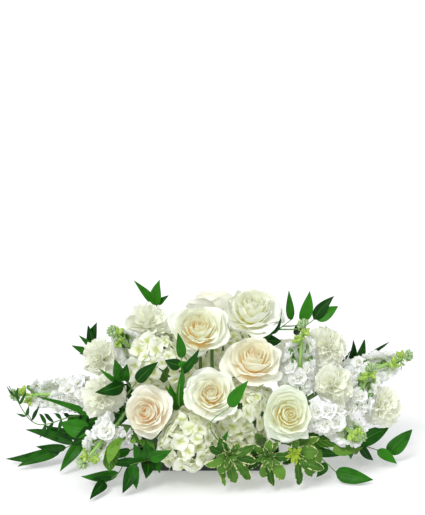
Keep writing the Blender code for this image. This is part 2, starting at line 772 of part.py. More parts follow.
def sepals(place):
    """The sepals, joined in a star under the bloom."""
    points = [(0, 0, height) for height in SEPAL_MIDDLE]
    for k in range(2 * SEPALS):
        angle = k * math.pi / SEPALS
        reach, height = SEPAL_NOTCH if k % 2 else SEPAL_TIP
        points.append((reach * math.cos(angle), reach * math.sin(angle), height))
    faces = []
    for k in range(2 * SEPALS):
        here, ahead = 2 + k, 2 + (k + 1) % (2 * SEPALS)
        faces += [(0, here, ahead), (1, ahead, here)]
    return place(points), faces


def rose_stem(arrangement, name, seat, axis, place):
    path = arrangement.stem(name, [seat - axis * ROSE_HIP_FOOT], axis, ROSE_STEM_RADIUS)
    radii = [ROSE_STEM_RADIUS] * len(path) + [wide for _, wide in ROSE_HIP]
    path = np.vstack((path, *(seat + axis * height for height, _ in ROSE_HIP)))
    stem = node(name + "_stem", "stem", LEAF_ROUGHNESS, [tube(path, radii, STEM_SIDES), sepals(place)])
    arrangement.remember(stem)


# Hydrangeas

FLORETS = 18
FLORET_CAP = math.radians(118)
HYDRANGEA_BASE_HEIGHT = 0.42
HYDRANGEA_BASE_ANGLE = 168
# below the florets: points in a ring, its angle from the top in degrees, and its height
HYDRANGEA_UNDERSIDE = ((7, 138, 0.50), (6, HYDRANGEA_BASE_ANGLE, HYDRANGEA_BASE_HEIGHT))


def spread_over_cap(count, cap):
    """Directions spread evenly over a cap round +Z."""
    heights = 1 - (np.arange(count) + 0.5) / count * (1 - math.cos(cap))
    turns = np.arange(count) * GOLDEN_ANGLE
    rims = np.sqrt(1 - heights**2)
    return np.stack((rims * np.cos(turns), rims * np.sin(turns), heights), axis=1)


def tangents(direction):
    side = unit(np.cross(direction, (0.3, 1.0, 0.2)))
    return side, np.cross(direction, side)


def relief(directions, heights):
    """A closed mesh with one point in each direction, which is raised to its height."""
    bm = bmesh.new()
    for direction in directions:
        bm.verts.new(direction)
    bm.verts.index_update()
    bmesh.ops.convex_hull(bm, input=bm.verts)
    faces = [tuple(v.index for v in face.verts) for face in bm.faces]
    bm.free()
    return np.asarray(directions) * np.asarray(heights)[:, None], faces


def polar(angle, turn):
    """The direction at an angle from +Z, in degrees, and a turn about it, in radians."""
    tilt = math.radians(angle)
    return np.array((math.sin(tilt) * math.cos(turn), math.sin(tilt) * math.sin(turn), math.cos(tilt)))


def hydrangea(arrangement, name, centre, radius, turn, rise, roll):
    """The head: florets of four petals raised from a ball, which is flat below where the stem meets it."""
    axis = facing(turn, rise)
    place = frame_at(point(centre), axis, roll)
    planes = contacts_of(arrangement.mass(name), arrangement.masses)
    reach = math.sqrt(2 * (1 - math.cos(FLORET_CAP)) / FLORETS)
    directions, heights = [], []
    for k, middle in enumerate(spread_over_cap(FLORETS, FLORET_CAP)):
        side, other = tangents(middle)
        lift = 1.0 - 0.05 * (k % 3)
        directions.append(middle)
        heights.append(lift - 0.05)
        for petal in range(4):
            angle = petal * math.pi / 2 + k * 0.9
            for away, turned, height in ((0.82, -0.42, lift), (0.82, 0.42, lift), (0.66, math.pi / 4, 0.78)):
                edge = side * math.cos(angle + turned) + other * math.sin(angle + turned)
                directions.append(unit(middle + edge * math.tan(reach * away)))
                heights.append(height)
    for count, angle, height in HYDRANGEA_UNDERSIDE:
        directions += [polar(angle, 2 * math.pi * k / count) for k in range(count)]
        heights += [height] * count
    points, faces = relief(directions, heights)
    head = squeezed(place(points * radius), planes)
    arrangement.remember(node(name + "_bloom", "hydrangea", PETAL_ROUGHNESS, [(head, faces)]))
    return place(polar(HYDRANGEA_BASE_ANGLE, 0) * [0, 0, HYDRANGEA_BASE_HEIGHT * radius]), axis


def hydrangea_stem(arrangement, name, seat, axis):
    path = arrangement.stem(name, [seat - axis * SEAT_GAP], axis, HYDRANGEA_STEM_RADIUS)
    solids = [tube(path, [HYDRANGEA_STEM_RADIUS] * len(path), STEM_SIDES)]
    stem = node(name + "_stem", "stem", LEAF_ROUGHNESS, solids)
    arrangement.remember(stem)


# Carnations

CARNATION_CENTRE_SHARE = 0.55
CARNATION_MIDDLE = 0.30
# rings of the relief from the top: points, angle from the top in degrees, height, and how far it is ruffled
CARNATION_RINGS = (
    (1, 0, 0.72, 0), (8, 15, 0.90, 1), (6, 28, 0.68, 0), (14, 41, 0.94, 1), (8, 56, 0.68, 0),
    (20, 73, 0.94, 1), (9, 92, 0.62, 0), (6, 125, 0.36, 0), (5, 165, 0.26, 0),
)
RUFFLE_HEIGHT = 0.075
RUFFLE_ANGLE = 5
CALYX_FOOT = 27


def carnation_bloom(arrangement, name, centre, radius, turn, rise, roll):
    """The bloom: rings of toothed, ruffled petals with deep gaps between them."""
    axis = facing(turn, rise)
    seat = point(centre) - axis * radius * CARNATION_CENTRE_SHARE
    place = frame_at(seat + axis * radius * CARNATION_MIDDLE, axis, roll)
    planes = contacts_of(arrangement.mass(name), arrangement.masses)
    directions, heights = [], []
    for ring, (count, angle, height, ruffled) in enumerate(CARNATION_RINGS):
        for k in range(count):
            tooth = ruffled * (1 if k % 2 else -1)
            wave = ruffled * math.cos(k * 2 * math.pi * (3 + ring) / count)
            ruffled_angle = angle + RUFFLE_ANGLE * (tooth * 0.5 + wave)
            directions.append(polar(ruffled_angle, 2 * math.pi * k / count + ring))
            heights.append(height + RUFFLE_HEIGHT * tooth)
    points, faces = relief(directions, heights)
    return seat, axis, [(squeezed(place(points * radius), planes), faces)]


def carnation(arrangement, name, radius, seat, axis, solids):
    """Bloom, calyx and stem, which grew as one."""
    path = arrangement.stem(name, [seat - axis * CALYX_FOOT], axis, CARNATION_STEM_RADIUS)
    radii = [CARNATION_STEM_RADIUS] * len(path)
    calyx = ((5 - CALYX_FOOT, 6.5), (0.1 * radius, 7.5), (0.3 * radius, 3))
    path = np.vstack((path, *(seat + axis * height for height, _ in calyx)))
    radii += [wide for _, wide in calyx]
    made = node(name, "carnation", PETAL_ROUGHNESS, [tube(path, radii, STEM_SIDES), *solids])
    arrangement.remember(made)


# Stocks

FLORET_LOBES = 4
# as shares of the floret's size: how far from the spike's axis it sits, and the reach of its lobes and notches
FLORET_AWAY = 0.82
FLORET_ROOT = 0.66
LOBE_REACH = 0.66
NOTCH_REACH = 0.40
BUDS = 4
BUD_SPREAD = 15
# the florets that would hide the stem grow at the back instead, from this share of the open florets on
OPEN_FROM = 0.5
OPEN_WAY = unit(point((0, -0.95, 0.3)))


def stock_floret(middle, outer, radius, turn):
    """A floret with four lobes that narrows to its root on the spike."""
    side, other = tangents(outer)
    points = [middle + outer * 2, middle - outer * FLORET_ROOT * radius]
    count = 2 * FLORET_LOBES
    for k in range(count):
        angle = turn + k * 2 * math.pi / count
        reach, rise = (NOTCH_REACH, -1.5) if k % 2 else (LOBE_REACH, 2.5)
        edge = math.cos(angle) * side + math.sin(angle) * other
        points.append(middle + reach * radius * edge + outer * rise)
    faces = []
    for k in range(0, count, 2):
        lobe, before, after = 2 + k, 2 + (k - 1) % count, 2 + k + 1
        faces += [(0, lobe, after), (0, before, lobe), (lobe, before, after), (1, after, before)]
    return np.array(points), faces


def bud(middle, axis, size):
    """A pointed bud with four sides."""
    points = [(0, 0, -size), (0, 0, 1.2 * size)]
    points += [(0.8 * size * math.cos(a), 0.8 * size * math.sin(a), 0) for a in np.arange(4) * math.pi / 2]
    faces = []
    for k in range(4):
        n = (k + 1) % 4
        faces += [(0, 2 + n, 2 + k), (1, 2 + k, 2 + n)]
    return frame_at(middle, axis)(points), faces


def floret_way(place, base, share, angle):
    """The direction in which a floret faces, and its angle round the spike."""
    for turned in (angle, angle + math.pi):
        outer = unit(place([(math.cos(turned), math.sin(turned), 0.15 + 0.5 * share)])[0] - base)
        if share < OPEN_FROM or outer @ OPEN_WAY < 0.3:
            break
    return outer


def stock_spike(arrangement, name, base, tip, radius, florets, zone):
    """A spike of florets, with green buds on stalks above them."""
    base, tip = point(base), point(tip)
    axis = unit(tip - base)
    length = np.linalg.norm(tip - base)
    planes = contacts_of(arrangement.mass(name), arrangement.masses)
    place = frame_at(base, axis)
    solids = []
    for k in range(florets):
        share = (k + 0.3) / florets
        angle = k * GOLDEN_ANGLE
        size = radius * (1.05 - 0.35 * share)
        outer = floret_way(place, base, share, angle)
        middle = base + axis * length * share * zone + outer * size * FLORET_AWAY
        points, faces = stock_floret(middle, outer, size, angle)
        solids.append((squeezed(points, planes), faces))
    for k in range(BUDS):
        angle = k * GOLDEN_ANGLE
        share = k / (BUDS - 1)
        lean = BUD_SPREAD * (1 - share) + 1
        height = length * (zone + (0.98 - zone) * (0.15 + 0.85 * share))
        sideways = (lean * math.cos(angle), lean * math.sin(angle), height)
        root, middle = place([(0, 0, height - 0.9 * lean), sideways])
        way = unit(middle - root + 0.5 * axis)
        if lean > 5:
            solids.append(tube((root, middle - way * 2), (1.6, 1.3), SPRIG_SIDES))
        solids.append(bud(middle, way, 5.6 - 1.8 * share))
    return base, axis, solids


def stock(arrangement, spec, base, axis, solids):
    """The spike with its stem, which grew as one."""
    name, zone, length = spec[0], spec[-1], math.dist(spec[1], spec[2])
    path = arrangement.stem(name, [base - axis * 8], axis, STOCK_STEM_RADIUS)
    radii = [STOCK_STEM_RADIUS] * len(path)
    core = ((0, 8), (length * zone * 0.7, 7), (length * zone, 3.4), (length - 2, 2.0))
    path = np.vstack((path, *(base + axis * height for height, _ in core)))
    radii += [wide for _, wide in core]
    made = node(name, "stock", PETAL_ROUGHNESS, [tube(path, radii, STEM_SIDES), *solids])
    arrangement.remember(made)


# Greens

LEAF_TWISTS = (0, 14, -14, 28, -28, 44, -44)
LEAF_TILTS = (0, 14, 28, -14, 44)
LEAF_SHAPES = {
    # share of the length and of the half width at each row
    "ruscus": ((0.30, 0.92), (0.64, 0.78)),
    "pittosporum": ((0.40, 0.60), (0.76, 0.95)),
    "salal": ((0.32, 1.0), (0.68, 0.84)),
}
# leaves narrower than this have one row between root and tip
NARROW_WIDTH = 14.5
NARROW_SHAPE = ((0.40, 1.0),)
LEAF_SPREAD = {"ruscus": 46, "pittosporum": 50, "salal": 48, "fern": 62}
KNOB_SIZE = 4
LEAF_DROOP = {"ruscus": 0.16, "pittosporum": 0.22, "salal": 0.14, "fern": 0.10}
FRONT = point((0, -1.2, 0.3))
LEAF_FOLD = {"ruscus": 0.18, "pittosporum": 0.12, "salal": 0.10, "fern": 0.1}


def leaf_rows(kind, root, along, face, length, width, masses):
    """The rows of a leaf's middle surface, drooped along its length and folded at its rib."""
    side = np.cross(along, face)
    rows, shares = [[root]], [0.0]
    for share, broad in NARROW_SHAPE if width < NARROW_WIDTH else LEAF_SHAPES[kind]:
        middle = root + along * length * share - face * LEAF_DROOP[kind] * length * share**2
        rows.append([
            middle + side * c * width / 2 * broad + face * abs(c) * LEAF_FOLD[kind] * width / 2 * broad
            for c in (-1, 0, 1)
        ])
        shares.append(share)
    rows.append([root + along * length - face * LEAF_DROOP[kind] * length])
    shares.append(1.0)
    return [
        lifted(np.array(row), masses, np.full(len(row), min(1.0, share * 3)))
        for row, share in zip(rows, shares)
    ]


def leaf_direction(along, face, twist, tilt):
    """A leaf's direction and facing, twisted about its facing and tilted towards it, in degrees."""
    twist, tilt = math.radians(twist), math.radians(tilt)
    turned = along * math.cos(twist) + np.cross(face, along) * math.sin(twist)
    return turned * math.cos(tilt) + face * math.sin(tilt), face * math.cos(tilt) - turned * math.sin(tilt)


def along_path(path, share):
    """The point at a share of a path, and the path's direction there."""
    shares = np.linspace(0, 1, len(path))
    here, ahead, behind = (
        np.array([np.interp(share + step, shares, path[:, axis]) for axis in range(3)])
        for step in (0, 0.05, -0.05)
    )
    return here, unit(ahead - behind)


def sprayed_leaves(kind, path, spray):
    """The leaves of a spray: root, direction, facing, length and width. The last one ends the shoot."""
    top = 1 - 4 / np.linalg.norm(np.diff(path, axis=0), axis=1).sum()
    for k in range(spray.leaves):
        share = spray.begin + (top - spray.begin) * k / (spray.leaves - 1)
        if kind == "fern":
            share = spray.begin + (top - spray.begin) * (k // 2) / (spray.leaves / 2)
        root, way = along_path(path, share)
        face = unit(outward(root) - way * (outward(root) @ way))
        across = np.cross(way, face) * (1 if k % 2 == 0 else -1)
        spread = math.radians(0 if k == spray.leaves - 1 else LEAF_SPREAD[kind])
        along = way * math.cos(spread) + across * math.sin(spread)
        size = 1.0 - 0.44 * abs(share - 0.75)
        yield root, along, face, spray.length * size, spray.width * size


def aimed_leaves(kind, path, leaves):
    """The leaves with given tips: root, direction, facing, length and width. They turn to the front."""
    top = 1 - (0 if kind == "pittosporum" else 4) / np.linalg.norm(np.diff(path, axis=0), axis=1).sum()
    for share, tip, width in leaves:
        root, way = along_path(path, min(share, top))
        reach = point(tip) - root
        length = np.linalg.norm(reach)
        seen = outward(root) + FRONT
        face = unit(seen - reach * (seen @ reach) / length**2)
        if kind == "pittosporum" and share == 1:
            root = root + (reach - way * (reach @ way)) / length * KNOB_SIZE / 2
        yield root, unit(reach + face * LEAF_DROOP[kind] * length), face, length, width


def laid_leaf(arrangement, kind, name, root, along, face, length, width):
    """A leaf, turned until it lies clear of what is there already, or None where it can't."""
    for tilt in LEAF_TILTS:
        for twist in LEAF_TWISTS:
            turned, turned_face = leaf_direction(along, face, twist, tilt)
            rows = leaf_rows(kind, root, turned, turned_face, length, width, arrangement.masses)
            if arrangement.clear(*blade(rows, BLADE_THICKNESS + 2 * HOLE_CLEARANCE), name):
                return blade(rows)
    print("no room for a leaf of", name)
    return None


def side_shoot(arrangement, name, root, ways, tip):
    """The path of a shoot from a point on its stem, past what is there already."""
    first, *others = [point(w) for w in ways] or [(root + point(tip)) / 2]
    for bulge in BULGES:
        path = curve_through([root, first + bulge, *others, tip], SHOOT_POINTS)
        if arrangement.clear(*tube(path, [SPRIG_STEM_RADIUS + STEM_CLEARANCE] * len(path), SPRIG_SIDES), name):
            return path
    print("no clear way for a shoot of", name)
    return path


def leafy_stem(arrangement, kind, name, shoots):
    """A stem with its side shoots and leaves."""
    solids, stem = [], None
    for start, ways, tip, leaves in shoots:
        if start is None:
            path = arrangement.stem(name, [*ways, tip], None, SPRIG_STEM_RADIUS, SPRIG_POINTS, SPRIG_SIDES)
            stem = path
        else:
            path = side_shoot(arrangement, name, along_path(stem, start)[0], ways, tip)
        radii = np.linspace(SPRIG_STEM_RADIUS * 1.1, SPRIG_STEM_RADIUS * 0.8, len(path))
        solids.append(tube(path, radii, SPRIG_SIDES))
        if kind == "pittosporum":
            solids.append(bud(path[-1], unit(path[-1] - path[-2]), KNOB_SIZE))
        places = sprayed_leaves if isinstance(leaves, Spray) else aimed_leaves
        for place in places(kind, path, leaves):
            leaf = laid_leaf(arrangement, kind, name, *place)
            if leaf:
                solids.append(leaf)
    arrangement.remember(node(name, kind, LEAF_ROUGHNESS, solids))


def build():
    for obj in list(bpy.data.objects):
        bpy.data.objects.remove(obj)
    arrangement = Arrangement()
    for name, centre, radius, *_ in (*ROSES, *HYDRANGEAS, *CARNATIONS):
        arrangement.masses.append(Mass(name, centre, centre, radius))
    for name, base, tip, radius, _, zone in STOCKS:
        arrangement.masses.append(Mass(name, base, base + zone * (point(tip) - base), radius))
    arrangement.remember(dish())
    arrangement.remember(tape())
    arrangement.keep("foam", *foam_block())
    roses = [rose(arrangement, *spec, k * GOLDEN_ANGLE) for k, spec in enumerate(ROSES)]
    hydrangeas = [hydrangea(arrangement, *spec, k * GOLDEN_ANGLE) for k, spec in enumerate(HYDRANGEAS)]
    carnations = [carnation_bloom(arrangement, *spec, k * GOLDEN_ANGLE) for k, spec in enumerate(CARNATIONS)]
    stocks = [stock_spike(arrangement, *spec) for spec in STOCKS]
    for spec, parts in zip((*CARNATIONS, *STOCKS), (*carnations, *stocks)):
        for k, solid in enumerate(parts[2]):
            arrangement.keep(f"{spec[0]}_{k}", *solid)
    for spec, parts in zip(ROSES, roses):
        rose_stem(arrangement, spec[0], *parts)
    for spec, parts in zip(HYDRANGEAS, hydrangeas):
        hydrangea_stem(arrangement, spec[0], *parts)
    for spec, parts in zip(CARNATIONS, carnations):
        carnation(arrangement, spec[0], spec[2], *parts)
    for spec, parts in zip(STOCKS, stocks):
        stock(arrangement, spec, *parts)
    for spec in SPRIGS:
        leafy_stem(arrangement, *spec)
    node("foam", "foam", PETAL_ROUGHNESS, [foam_block(), *arrangement.holes], "DIFFERENCE")


build()
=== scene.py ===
"""The looks of the table centrepiece: petals, florets, leaves and stems at their real fineness.

Each fine piece grows where the part's source put its plain one, by the same tables and rules of growth.
Where a stem or leaf had several ways to lie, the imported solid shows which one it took. Lengths are in
millimetres and become metres when a mesh is made. The front faces -Y.
"""
import math
from typing import NamedTuple

import bpy
import numpy as np
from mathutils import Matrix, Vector
from mathutils.bvhtree import BVHTree


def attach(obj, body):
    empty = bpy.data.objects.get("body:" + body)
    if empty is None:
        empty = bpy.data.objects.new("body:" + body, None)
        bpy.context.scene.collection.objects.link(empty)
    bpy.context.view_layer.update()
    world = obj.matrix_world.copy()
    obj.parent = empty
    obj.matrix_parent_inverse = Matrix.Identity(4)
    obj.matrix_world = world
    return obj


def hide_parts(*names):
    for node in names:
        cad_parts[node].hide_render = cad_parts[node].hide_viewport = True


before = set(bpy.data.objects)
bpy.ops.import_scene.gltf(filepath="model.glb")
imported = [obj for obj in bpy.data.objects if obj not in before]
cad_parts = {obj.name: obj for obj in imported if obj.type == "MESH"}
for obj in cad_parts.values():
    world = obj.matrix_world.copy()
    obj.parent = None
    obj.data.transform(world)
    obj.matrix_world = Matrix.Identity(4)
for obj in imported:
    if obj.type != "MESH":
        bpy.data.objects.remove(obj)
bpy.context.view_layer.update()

METRES = 0.001
GOLDEN_ANGLE = math.pi * (3 - math.sqrt(5))

# Dish, foam and stems, as in the part's source
DISH_LENGTH = 250
DISH_WIDTH = 124
DISH_HEIGHT = 30
DISH_WALL = 2.4
DISH_FLOOR = 3
DISH_TAPER = 6
DISH_LIP = 3
DISH_CORNER = 26
FOAM_LENGTH = 222
FOAM_WIDTH = 98
FOAM_TOP = 74
SEAT_GAP = 0.3
STEM_DEPTH = 26
ROSE_STEM_RADIUS = 3.2
HYDRANGEA_STEM_RADIUS = 3.4
CARNATION_STEM_RADIUS = 2.4
STOCK_STEM_RADIUS = 3.0
SPRIG_STEM_RADIUS = 1.5
STEM_POINTS = 4
SPRIG_POINTS = 4
SPRIG_SIDES = 7
SHOOT_POINTS = 3
FINE_STEM_POINTS = 15
STEM_COLLAR = 5
ROOT_SHARE_X = 0.42
ROOT_SHARE_Y = 0.24
ROOT_LIMIT_X = 88
ROOT_LIMIT_Y = 26
ROOT_HEIGHT = 48
# roots that cross another stem are shifted round rings, and rise with their shift to the back
ROOT_RINGS = (9, 17)
SHIFT_RISE = 0.4
BULGE_SIZES = (10, 20, 32)
# how far past the point that it aims at a stem may end, and the share of its way on which it arrives straight
PAST_ROOT = 14
ARRIVE_SHARE = 0.3
MOUND_CENTRE = np.array((0, 0, 40))
MOUND_HALF_SIZES = np.array((300, 150, 270))
BLADE_THICKNESS = 1.5
HEAD_GAP = 2.6
SQUEEZE_KNEE = 0.78
PETAL_EASE = 4.0
SHARP_RIMS = math.radians(75)
LEAF_LIFT = 3.0
TABLE_CLEARANCE = 2.0
PRESS_ROUNDS = 3
PAIR_ROUNDS = 40
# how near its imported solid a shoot's and a leaf's points have to be, and how many of the leaf's, as a share
SHOOT_NEAR = 0.1
LEAF_NEAR = 0.7
LEAF_FOUND = 0.75

# Heads: name, centre, radius, and the turn to the right of the front and the rise that they face, in degrees
ROSES = (
    ("rose_top", (76, 14, 276), 52, 10, 62),
    ("rose_crown", (-16, -45, 258), 51, -2, 46),
    ("rose_inner_right", (78, -70, 213), 48, 8, 52),
    ("rose_centre", (5, -130, 172), 45, 0, 36),
    ("rose_lower_left", (-102, -125, 137), 46, -14, 22),
    ("rose_lower_right", (136, -120, 132), 46, 8, 26),
    ("rose_back", (12, 72, 262), 50, 175, 50),
)
HYDRANGEAS = (
    ("hydrangea_front", (-34, -120, 88), 52, -8, 16),
    ("hydrangea_middle", (58, -76, 116), 64, 8, 28),
    ("hydrangea_left", (-84, -36, 194), 62, -18, 42),
    ("hydrangea_back", (22, 104, 150), 74, 176, 30),
)
CARNATIONS = (
    ("carnation_left_upper", (-191, -12, 196), 36, -25, 35),
    ("carnation_left_lower", (-181, -82, 150), 39, -18, 25),
    ("carnation_left_top", (-108, 12, 251), 41, -20, 50),
    ("carnation_right_upper", (211, -12, 219), 37, 20, 45),
    ("carnation_right_lower", (216, -70, 163), 40, 15, 25),
    ("carnation_right_end", (312, -30, 110), 36, 40, 5),
    ("carnation_back_left", (-116, 84, 158), 46, -160, 30),
    ("carnation_back_right", (162, 80, 165), 46, 155, 30),
)

# Flower spikes: name, where the lowest floret sits, the tip, radius, and the share of the spike that has open
# florets, above which come the buds
STOCKS = (
    ("stock_left_end", (-212, -28, 136), (-342, -40, 136), 31, 0.66),
    ("stock_left_upper", (-112, -16, 196), (-166, -60, 262), 30, 0.60),
    ("stock_left_lower", (-156, -114, 110), (-212, -162, 58), 30, 0.60),
    ("stock_right_upper", (158, -50, 150), (164, -34, 269), 33, 0.62),
    ("stock_right_lower", (190, -92, 128), (262, -124, 90), 32, 0.84),
    ("stock_right_middle", (255, -48, 112), (286, -36, 189), 30, 0.62),
    ("stock_right_end", (250, 8, 148), (359, 10, 193), 31, 0.70),
)


class Spray(NamedTuple):
    """Leaves on alternate sides of a shoot, from a share of its length to its tip."""
    leaves: int
    length: float
    width: float
    begin: float


# Leafy stems: kind, name and shoots. The first shoot stands in the foam, and the others branch from it at the
# share of its length that they start with. Then come the points on a shoot's way, its tip, and its leaves: a
# spray, or for each leaf the share of the shoot where it grows, its tip and its width.
SPRIGS = (
    ("ruscus", "ruscus_top_left", (
        (None, ((-86, 66, 193), (-90, 60, 247)), (-93, 52, 277), (
            (0.97, (-134, 52, 317), 13), (0.98, (-84, 52, 320), 18), (0.99, (-70, 52, 290), 10),
        )),
    )),
    ("ruscus", "ruscus_left", (
        (None, ((-160, 38, 150),), (-212, 30, 202), (
            (0.70, (-232, 18, 176), 14), (0.84, (-243, 18, 205), 17), (0.90, (-230, 18, 227), 11),
            (0.95, (-210, 18, 245), 17), (0.98, (-194, 18, 250), 18),
        )),
    )),
    ("ruscus", "ruscus_left_front", (
        (None, ((-134, -62, 105), (-142, -74, 158)), (-145, -98, 187), (
            (0.84, (-183, -112, 212), 9), (0.90, (-189, -122, 172), 20), (0.95, (-155, -118, 230), 20),
            (0.98, (-135, -118, 221), 17),
        )),
        (0.72, (), (-119, -108, 188), ((0.97, (-82, -122, 226), 18),)),
    )),
    ("ruscus", "ruscus_centre", (
        (None, ((-39, -96, 103), (-49, -118, 157), (-45, -114, 201)), (-43, -114, 239), (
            (0.45, (-91, -150, 146), 11), (0.52, (-64, -112, 184), 16), (0.60, (-23, -128, 213), 14),
            (0.85, (-14, -112, 246), 12), (0.90, (-72, -112, 226), 17), (0.95, (-40, -112, 210), 14),
            (0.97, (-50, -112, 274), 14),
        )),
    )),
    ("ruscus", "ruscus_middle", (
        (None, ((14, -120, 64), (4, -166, 133)), (40, -178, 171), (
            (0.60, (34, -178, 127), 8), (0.97, (66, -178, 213), 18),
        )),
    )),
    ("ruscus", "ruscus_top_right", (
        (None, ((77, -18, 221), (106, -4, 232)), (150, 6, 263), (
            (0.60, (76, 6, 243), 13), (0.66, (125, 6, 256), 19),
            (0.72, (130, 6, 219), 18), (0.80, (125, 6, 284), 14), (0.98, (140, 6, 313), 13),
        )),
        (0.90, ((156, -6, 254),), (168, 0, 260), (
            (0.50, (160, 6, 232), 20), (0.98, (177, 6, 313), 19),
        )),
        (0.86, ((160, -12, 250), (178, -6, 258)), (190, 2, 266), (
            (0.98, (229, 6, 284), 21), (0.90, (221, 6, 303), 17),
        )),
    )),
    ("ruscus", "ruscus_right", (
        (None, ((204, 44, 110), (240, 56, 144)), (280, 50, 162), (
            (0.60, (251, 34, 194), 13), (0.67, (230, 34, 183), 16), (0.75, (272, 34, 185), 13),
            (0.85, (256, 34, 213), 17), (0.93, (277, 34, 213), 21), (0.98, (323, 34, 211), 10),
        )),
    )),
    ("ruscus", "ruscus_trail_left", (
        (None, ((-153, -60, 89), (-211, -50, 60)), (-271, -30, 25), (
            (0.55, (-256, -20, 92), 22), (0.68, (-295, -14, 72), 16), (0.76, (-257, -78, 8), 18),
            (0.84, (-326, -8, 60), 15), (0.90, (-306, -30, 36), 13), (0.95, (-360, -30, 12), 18),
            (0.98, (-335, -56, 8), 18),
        )),
        (0.20, ((-172, -76, 96),), (-206, -84, 90), (
            (0.45, (-293, -76, 149), 11), (0.98, (-258, -64, 95), 28), (0.75, (-236, -86, 62), 27),
        )),
        (0.40, (), (-222, 70, 24), Spray(4, 58, 27, 0.3)),
    )),
    ("ruscus", "ruscus_front_left", (
        (None, ((-100, -104, 42), (-113, -135, 52)), (-131, -150, 53), (
            (0.40, (-80, -152, 40), 22), (0.62, (-104, -154, 30), 21), (0.76, (-124, -146, 90), 18),
            (0.85, (-168, -150, 55), 14), (0.92, (-143, -164, 8), 20), (0.98, (-120, -158, 13), 15),
        )),
        (0.50, (), (-100, -162, 72), ((0.70, (-104, -156, 98), 20), (0.98, (-60, -178, 92), 18))),
    )),
    ("ruscus", "ruscus_trail_front_left", (
        (None, ((-137, -108, 58), (-150, -128, 32)), (-176, -140, 14), (
            (0.55, (-182, -140, 67), 14), (0.80, (-218, -118, 18), 16), (0.90, (-198, -140, 23), 8),
            (0.97, (-196, -186, 7), 16),
        )),
    )),
    ("ruscus", "ruscus_trail_right", (
        (None, ((231, -56, 66), (272, -44, 44)), (331, -22, 16), (
            (0.58, (296, -22, 50), 17), (0.62, (254, -30, 10), 15), (0.70, (325, -22, 76), 24),
            (0.74, (294, -30, 8), 13), (0.88, (334, -44, 8), 16), (0.97, (361, -22, 66), 27),
        )),
        (0.70, (), (290, 66, 18), Spray(4, 56, 27, 0.3)),
    )),
    ("ruscus", "ruscus_trail_front_right", (
        (None, ((173, -92, 59), (202, -100, 37)), (223, -100, 16), (
            (0.60, (234, -104, 52), 14), (0.80, (187, -104, 10), 14), (0.97, (284, -118, 12), 24),
        )),
    )),
    ("ruscus", "ruscus_back", (
        (None, ((-75, 80, 96), (-120, 112, 76)), (-190, 130, 50), Spray(6, 68, 32, 0.3)),
        (0.25, (), (-60, 150, 24), Spray(5, 66, 34, 0.3)),
    )),
    ("pittosporum", "pittosporum_front", (
        (None, ((34, -110, 72),), (37, -160, 75), (
            (0.60, (29, -160, 17), 12), (1.0, (27, -160, 109), 16), (1.0, (52, -160, 94), 15),
            (1.0, (77, -160, 92), 17), (1.0, (81, -160, 63), 17), (1.0, (71, -160, 30), 17),
            (1.0, (46, -160, 25), 19), (1.0, (19, -160, 43), 17), (1.0, (-3, -160, 57), 15),
            (1.0, (2, -160, 90), 15),
        )),
    )),
    ("pittosporum", "pittosporum_front_right", (
        (None, ((93, -100, 66),), (101, -148, 68), (
            (0.55, (80, -148, 110), 20), (0.62, (124, -148, 104), 18), (0.80, (66, -148, 76), 19),
            (0.90, (67, -148, 45), 16), (1.0, (93, -148, 30), 20), (1.0, (128, -148, 26), 22),
            (1.0, (111, -148, 14), 13), (1.0, (140, -148, 70), 18), (1.0, (104, -156, 100), 16),
        )),
    )),
    ("pittosporum", "pittosporum_right", (
        (None, ((141, -96, 66),), (147, -145, 70), (
            (0.60, (190, -138, 98), 16), (0.75, (126, -145, 52), 20), (0.90, (187, -145, 76), 25),
            (0.95, (198, -145, 42), 18), (1.0, (155, -145, 14), 14), (1.0, (176, -145, 30), 15),
            (1.0, (144, -145, 104), 15),
        )),
    )),
    ("salal", "salal_left", (
        (None, ((-142, -104, 80),), (-158, -152, 96), (
            (0.55, (-122, -150, 92), 22), (0.70, (-132, -160, 54), 24), (0.80, (-184, -150, 46), 22),
            (0.98, (-164, -170, 50), 32),
        )),
    )),
    ("salal", "salal_right", (
        (None, ((180, -84, 62),), (216, -112, 60), (
            (0.50, (236, -126, 58), 26), (0.72, (194, -124, 24), 22), (0.98, (262, -112, 80), 28),
        )),
    )),
    ("salal", "salal_back", (
        (None, ((40, 100, 62),), (80, 150, 36), Spray(5, 84, 52, 0.40)),
        (0.45, (), (150, 118, 34), Spray(4, 80, 50, 0.30)),
    )),
    ("fern", "fern_left", (
        (
            None, ((-160, -35, 92), (-234, -46, 100), (-300, -58, 90)), (-346, -52, 158),
            Spray(14, 30, 7, 0.36),
        ),
    )),
)


def unit(vectors):
    return vectors / np.linalg.norm(vectors, axis=-1, keepdims=True)


def point(values):
    return np.array(values, float)


# Where things lie: the same rules of growth as the part's source

def facing(turn, rise):
    """The direction that a head faces: turned to the right of the front, and raised, in degrees."""
    turn, rise = math.radians(turn), math.radians(rise)
    return np.array((math.sin(turn) * math.cos(rise), -math.cos(turn) * math.cos(rise), math.sin(rise)))


def outward(place):
    """The direction away from the mound at a place."""
    return unit((place - MOUND_CENTRE) / MOUND_HALF_SIZES**2)


def frame_at(origin, axis, roll=0.0):
    """A function that takes local points, with +Z along axis, to their place."""
    side = unit(np.cross(axis, (0.31, 0.17, 0.94) if abs(axis[2]) < 0.9 else (1.0, 0.2, 0.1)))
    other = np.cross(axis, side)
    right = side * math.cos(roll) + other * math.sin(roll)
    turned = np.stack((right, np.cross(axis, right), axis))
    return lambda points: np.asarray(points, float) @ turned + origin


